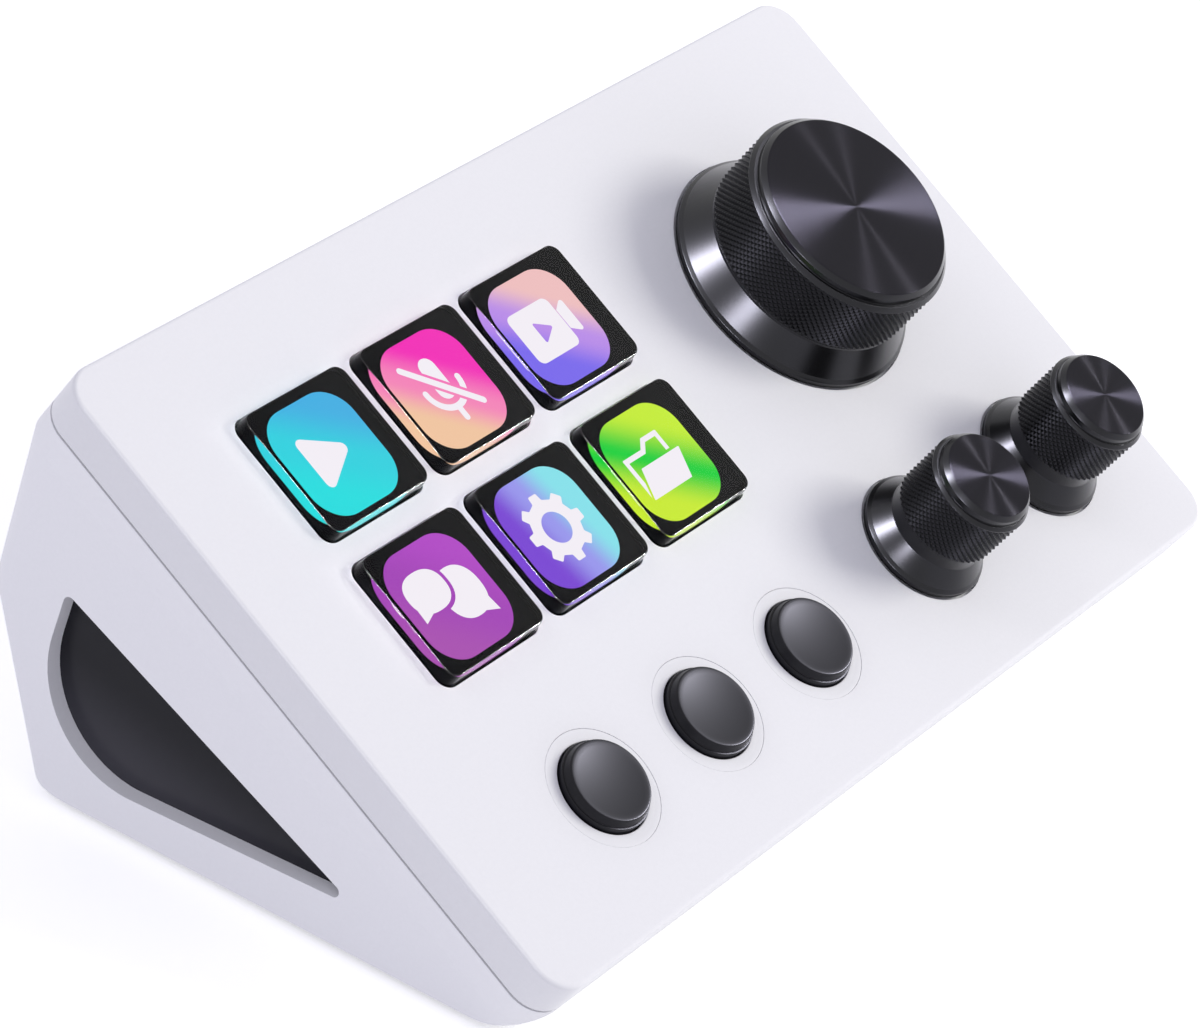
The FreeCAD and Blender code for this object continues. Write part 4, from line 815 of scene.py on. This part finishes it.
# For each knob: its place across and up the panel, its outline, the height above which it is spun
# and the number of its segments.
KNOBS = {"big": (33.63, 50.36, BIG_OUTLINE, 13.6, 256), "left": (21.91, 17.13, SMALL_OUTLINE, 13.2, 160),
         "right": (46.91, 17.13, SMALL_OUTLINE, 13.2, 160)}
for name, (across, up, outline, top, segments) in KNOBS.items():
    mesh = lathe_mesh(f"knob_{name}", softened(outline), across, up, segments)
    away = mesh.attributes.new("from_axis", "FLOAT_VECTOR", "POINT")
    for spot, entry in zip(mesh.vertices, away.data):
        flat = PANEL.inverted() @ spot.co / MM - Vector((across, up, 0))
        entry.vector = TURN @ Vector((flat.x, flat.y, 0))
    for face in mesh.polygons:
        face.material_index = int((PANEL.inverted() @ face.center / MM).z > top)
    body = finished_piece(f"knob_body_{name}", mesh, f"dial_{name}", [anodised, spun],
                          [f"knob_{name}"])
    LIGHT_ON["knobs"].objects.link(body)
print(len(KNOBS), "knob bodies")


# %% A tree of Geometry Nodes for the knurl
FOLD, SEAM = 1.4, 2.0


def knurl_tree():
    """Wraps a grid round an axis and pushes every other corner in, which leaves pyramids. The end rows
    go in by FOLD times the depth, and the rows beyond them meet inside at SEAM times more."""
    tree = bpy.data.node_groups.new("Knurled band", "GeometryNodeTree")
    words = [("Around", "NodeSocketInt"), ("Rows", "NodeSocketInt"), ("Crest Radius", "NodeSocketFloat"),
             ("Depth", "NodeSocketFloat"), ("Start", "NodeSocketFloat"), ("Height", "NodeSocketFloat"),
             ("Finish", "NodeSocketMaterial")]
    for word, kind in words:
        tree.interface.new_socket(word, in_out="INPUT", socket_type=kind)
    tree.interface.new_socket("Geometry", in_out="OUTPUT", socket_type="NodeSocketGeometry")
    given = tree.nodes.new("NodeGroupInput").outputs
    grid = tree.nodes.new("GeometryNodeMeshGrid")
    link(tree, maths(tree, "ADD", given["Around"], 1), grid.inputs["Vertices X"])
    link(tree, maths(tree, "ADD", given["Rows"], 3), grid.inputs["Vertices Y"])
    place = tree.nodes.new("ShaderNodeSeparateXYZ")
    link(tree, tree.nodes.new("GeometryNodeInputPosition").outputs[0], place.inputs[0])
    part_round = maths(tree, "ADD", place.outputs["X"], 0.5)
    part_up = maths(tree, "ADD", place.outputs["Y"], 0.5)
    column = maths(tree, "ROUND", maths(tree, "MULTIPLY", part_round, given["Around"]))
    line = maths(tree, "ROUND", maths(tree, "MULTIPLY", part_up, maths(tree, "ADD", given["Rows"], 2)))
    row = maths(tree, "SUBTRACT", line, 1)
    odd = maths(tree, "FLOORED_MODULO", maths(tree, "ADD", column, row), 2)
    share = maths(tree, "DIVIDE", row, given["Rows"])
    from_middle = maths(tree, "ABSOLUTE", maths(tree, "SUBTRACT", share, 0.5))
    # The end rows lie half the height from the middle, and the rows of the seam lie beyond them.
    end_row = maths(tree, "GREATER_THAN", from_middle, 0.499)
    seam = maths(tree, "GREATER_THAN", from_middle, 0.501)
    inner = maths(tree, "MULTIPLY", odd, maths(tree, "SUBTRACT", 1, end_row))
    inner = maths(tree, "ADD", inner, maths(tree, "MULTIPLY", end_row, FOLD))
    inner = maths(tree, "ADD", inner, maths(tree, "MULTIPLY", seam, SEAM))
    radius = maths(tree, "SUBTRACT", given["Crest Radius"], maths(tree, "MULTIPLY", given["Depth"], inner))
    share = maths(tree, "ADD", maths(tree, "MULTIPLY", share, maths(tree, "SUBTRACT", 1, seam)),
                  maths(tree, "MULTIPLY", seam, 0.5))
    height = maths(tree, "ADD", given["Start"], maths(tree, "MULTIPLY", share, given["Height"]))
    angle = maths(tree, "MULTIPLY", part_round, 2 * math.pi)
    spot = tree.nodes.new("ShaderNodeCombineXYZ")
    link(tree, maths(tree, "MULTIPLY", radius, maths(tree, "COSINE", angle)), spot.inputs["X"])
    link(tree, maths(tree, "MULTIPLY", radius, maths(tree, "SINE", angle)), spot.inputs["Y"])
    link(tree, height, spot.inputs["Z"])
    wrap = tree.nodes.new("GeometryNodeSetPosition")
    link(tree, grid.outputs["Mesh"], wrap.inputs["Geometry"])
    link(tree, spot.outputs[0], wrap.inputs["Position"])
    close = tree.nodes.new("GeometryNodeMergeByDistance")
    close.inputs["Distance"].default_value = 0.002
    link(tree, wrap.outputs[0], close.inputs[0])
    cut = tree.nodes.new("GeometryNodeTriangulate")
    cut.quad_method = "SHORTEST_DIAGONAL"
    link(tree, close.outputs[0], cut.inputs[0])
    real = tree.nodes.new("GeometryNodeRealizeInstances")
    link(tree, cut.outputs[0], real.inputs[0])
    coat = tree.nodes.new("GeometryNodeSetMaterial")
    link(tree, real.outputs[0], coat.inputs["Geometry"])
    link(tree, given["Finish"], coat.inputs["Material"])
    link(tree, coat.outputs[0], tree.nodes.new("NodeGroupOutput").inputs["Geometry"])
    return tree


KNURL = knurl_tree()
print("knurl tree with", len(KNURL.nodes), "nodes")


# %% From nodes to a plain mesh
def made_by(tree, name, start_mesh=None, **given):
    """Runs a tree on a mesh with its inputs set, and returns the result as a plain mesh."""
    holder = bpy.data.objects.new(name, start_mesh or bpy.data.meshes.new(name))
    bpy.context.scene.collection.objects.link(holder)
    modifier = holder.modifiers.new("made", "NODES")
    modifier.node_group = tree
    for item in tree.interface.items_tree:
        if item.in_out == "INPUT" and item.name.replace(" ", "_") in given:
            modifier[item.identifier] = given[item.name.replace(" ", "_")]
    ready = holder.evaluated_get(bpy.context.evaluated_depsgraph_get())
    mesh = bpy.data.meshes.new_from_object(ready)
    bpy.data.objects.remove(holder)
    mesh.name = name
    return mesh


# %% The three knurled bands
# For each band: corners around, rows, crest radius, depth, start and height.
BANDS = {"big": (196, 20, 13.24, 0.25, 4.40, 7.52), "left": (98, 19, 6.39, 0.22, 4.80, 6.67),
         "right": (98, 19, 6.39, 0.22, 4.80, 6.67)}
for name, (around, rows, crest, depth, start, height) in BANDS.items():
    mesh = made_by(KNURL, f"knurl_{name}", Around=around, Rows=rows, Crest_Radius=crest, Depth=depth,
                   Start=start, Height=height, Finish=knurled)
    across, up = KNOBS[name][:2]
    mesh.transform(PANEL @ Matrix.Scale(MM, 4) @ Matrix.Translation((across, up, 0)))
    mesh.materials.clear()
    band = finished_piece(f"knurl_{name}", mesh, f"dial_{name}", [knurled], smooth=20)
    LIGHT_ON["knurls"].objects.link(band)
    print(name, "band:", len(mesh.polygons), "faces")

# %% [markdown]
# ## Screws under the base
#
# Four countersunk screws with hexagon sockets hold the base plate. One screw is built
# up from rings as on the lathe, but the rings of its socket are six-sided. A small tree
# of Geometry Nodes then sets a copy on each corner of a grid, so all four are the same.

# %% One screw
SCREW_HEAD = 2.2
SCREW_OUTLINE = [(0, 1.7, 0), (0.72, 1.7, 1), (0.72, 1.06, 1), (0.78, 1.0, 1), (1.0, 1.0, 0), (2.12, 1.0, 0),
                 (SCREW_HEAD, 1.05, 0), (SCREW_HEAD, 1.12, 0), (1.25, 2.15, 0), (1.25, 4.7, 0),
                 (1.15, 4.8, 0), (0, 4.8, 0)]


def screw_mesh(name, segments=48):
    """A screw with its head down, about the Z axis. A point of its outline that ends in 1 is six-sided."""
    maker = bmesh.new()
    rings = []
    for radius, height, six in SCREW_OUTLINE:
        ring = []
        for k in range(segments if radius else 1):
            angle = 2 * math.pi * k / segments
            reach = radius / math.cos(angle % (math.pi / 3) - math.pi / 6) if six else radius
            spot = Vector((reach * math.cos(angle), reach * math.sin(angle), height))
            ring.append(maker.verts.new(spot * MM))
        rings.append(ring)
    join_rings(maker, rings, segments)
    bmesh.ops.recalc_face_normals(maker, faces=maker.faces)
    return mesh_of(maker, name)


print("one screw has", len(screw_mesh("base_screw").polygons), "faces")


# %% Four screws on a grid
def corner_tree():
    """Sets a copy of the mesh that it is given on each corner of a grid."""
    tree = bpy.data.node_groups.new("On four corners", "GeometryNodeTree")
    for word, kind in (("Geometry", "NodeSocketGeometry"), ("Spread Across", "NodeSocketFloat"),
                       ("Spread Deep", "NodeSocketFloat"), ("Shift", "NodeSocketVector"),
                       ("Finish", "NodeSocketMaterial")):
        tree.interface.new_socket(word, in_out="INPUT", socket_type=kind)
    tree.interface.new_socket("Geometry", in_out="OUTPUT", socket_type="NodeSocketGeometry")
    given = tree.nodes.new("NodeGroupInput").outputs
    grid = tree.nodes.new("GeometryNodeMeshGrid")
    grid.inputs["Vertices X"].default_value = grid.inputs["Vertices Y"].default_value = 2
    link(tree, given["Spread Across"], grid.inputs["Size X"])
    link(tree, given["Spread Deep"], grid.inputs["Size Y"])
    shift = tree.nodes.new("GeometryNodeTransform")
    link(tree, grid.outputs["Mesh"], shift.inputs["Geometry"])
    link(tree, given["Shift"], shift.inputs["Translation"])
    copies = tree.nodes.new("GeometryNodeInstanceOnPoints")
    link(tree, shift.outputs[0], copies.inputs["Points"])
    link(tree, given["Geometry"], copies.inputs["Instance"])
    real = tree.nodes.new("GeometryNodeRealizeInstances")
    link(tree, copies.outputs[0], real.inputs[0])
    coat = tree.nodes.new("GeometryNodeSetMaterial")
    link(tree, real.outputs[0], coat.inputs["Geometry"])
    link(tree, given["Finish"], coat.inputs["Material"])
    link(tree, coat.outputs[0], tree.nodes.new("NodeGroupOutput").inputs["Geometry"])
    return tree


low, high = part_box("base_screws")
head = SCREW_HEAD * MM
mesh = made_by(corner_tree(), "base_screw_set", start_mesh=screw_mesh("base_screw"),
               Spread_Across=high.x - low.x - 2 * head, Spread_Deep=high.y - low.y - 2 * head,
               Shift=(0.0, (low.y + high.y) / 2, 0.0), Finish=screw_steel)
mesh.materials.clear()
finished_piece("base_screw_set", mesh, "root", [screw_steel], ["base_screws"])
print("four screws have", len(mesh.polygons), "faces")
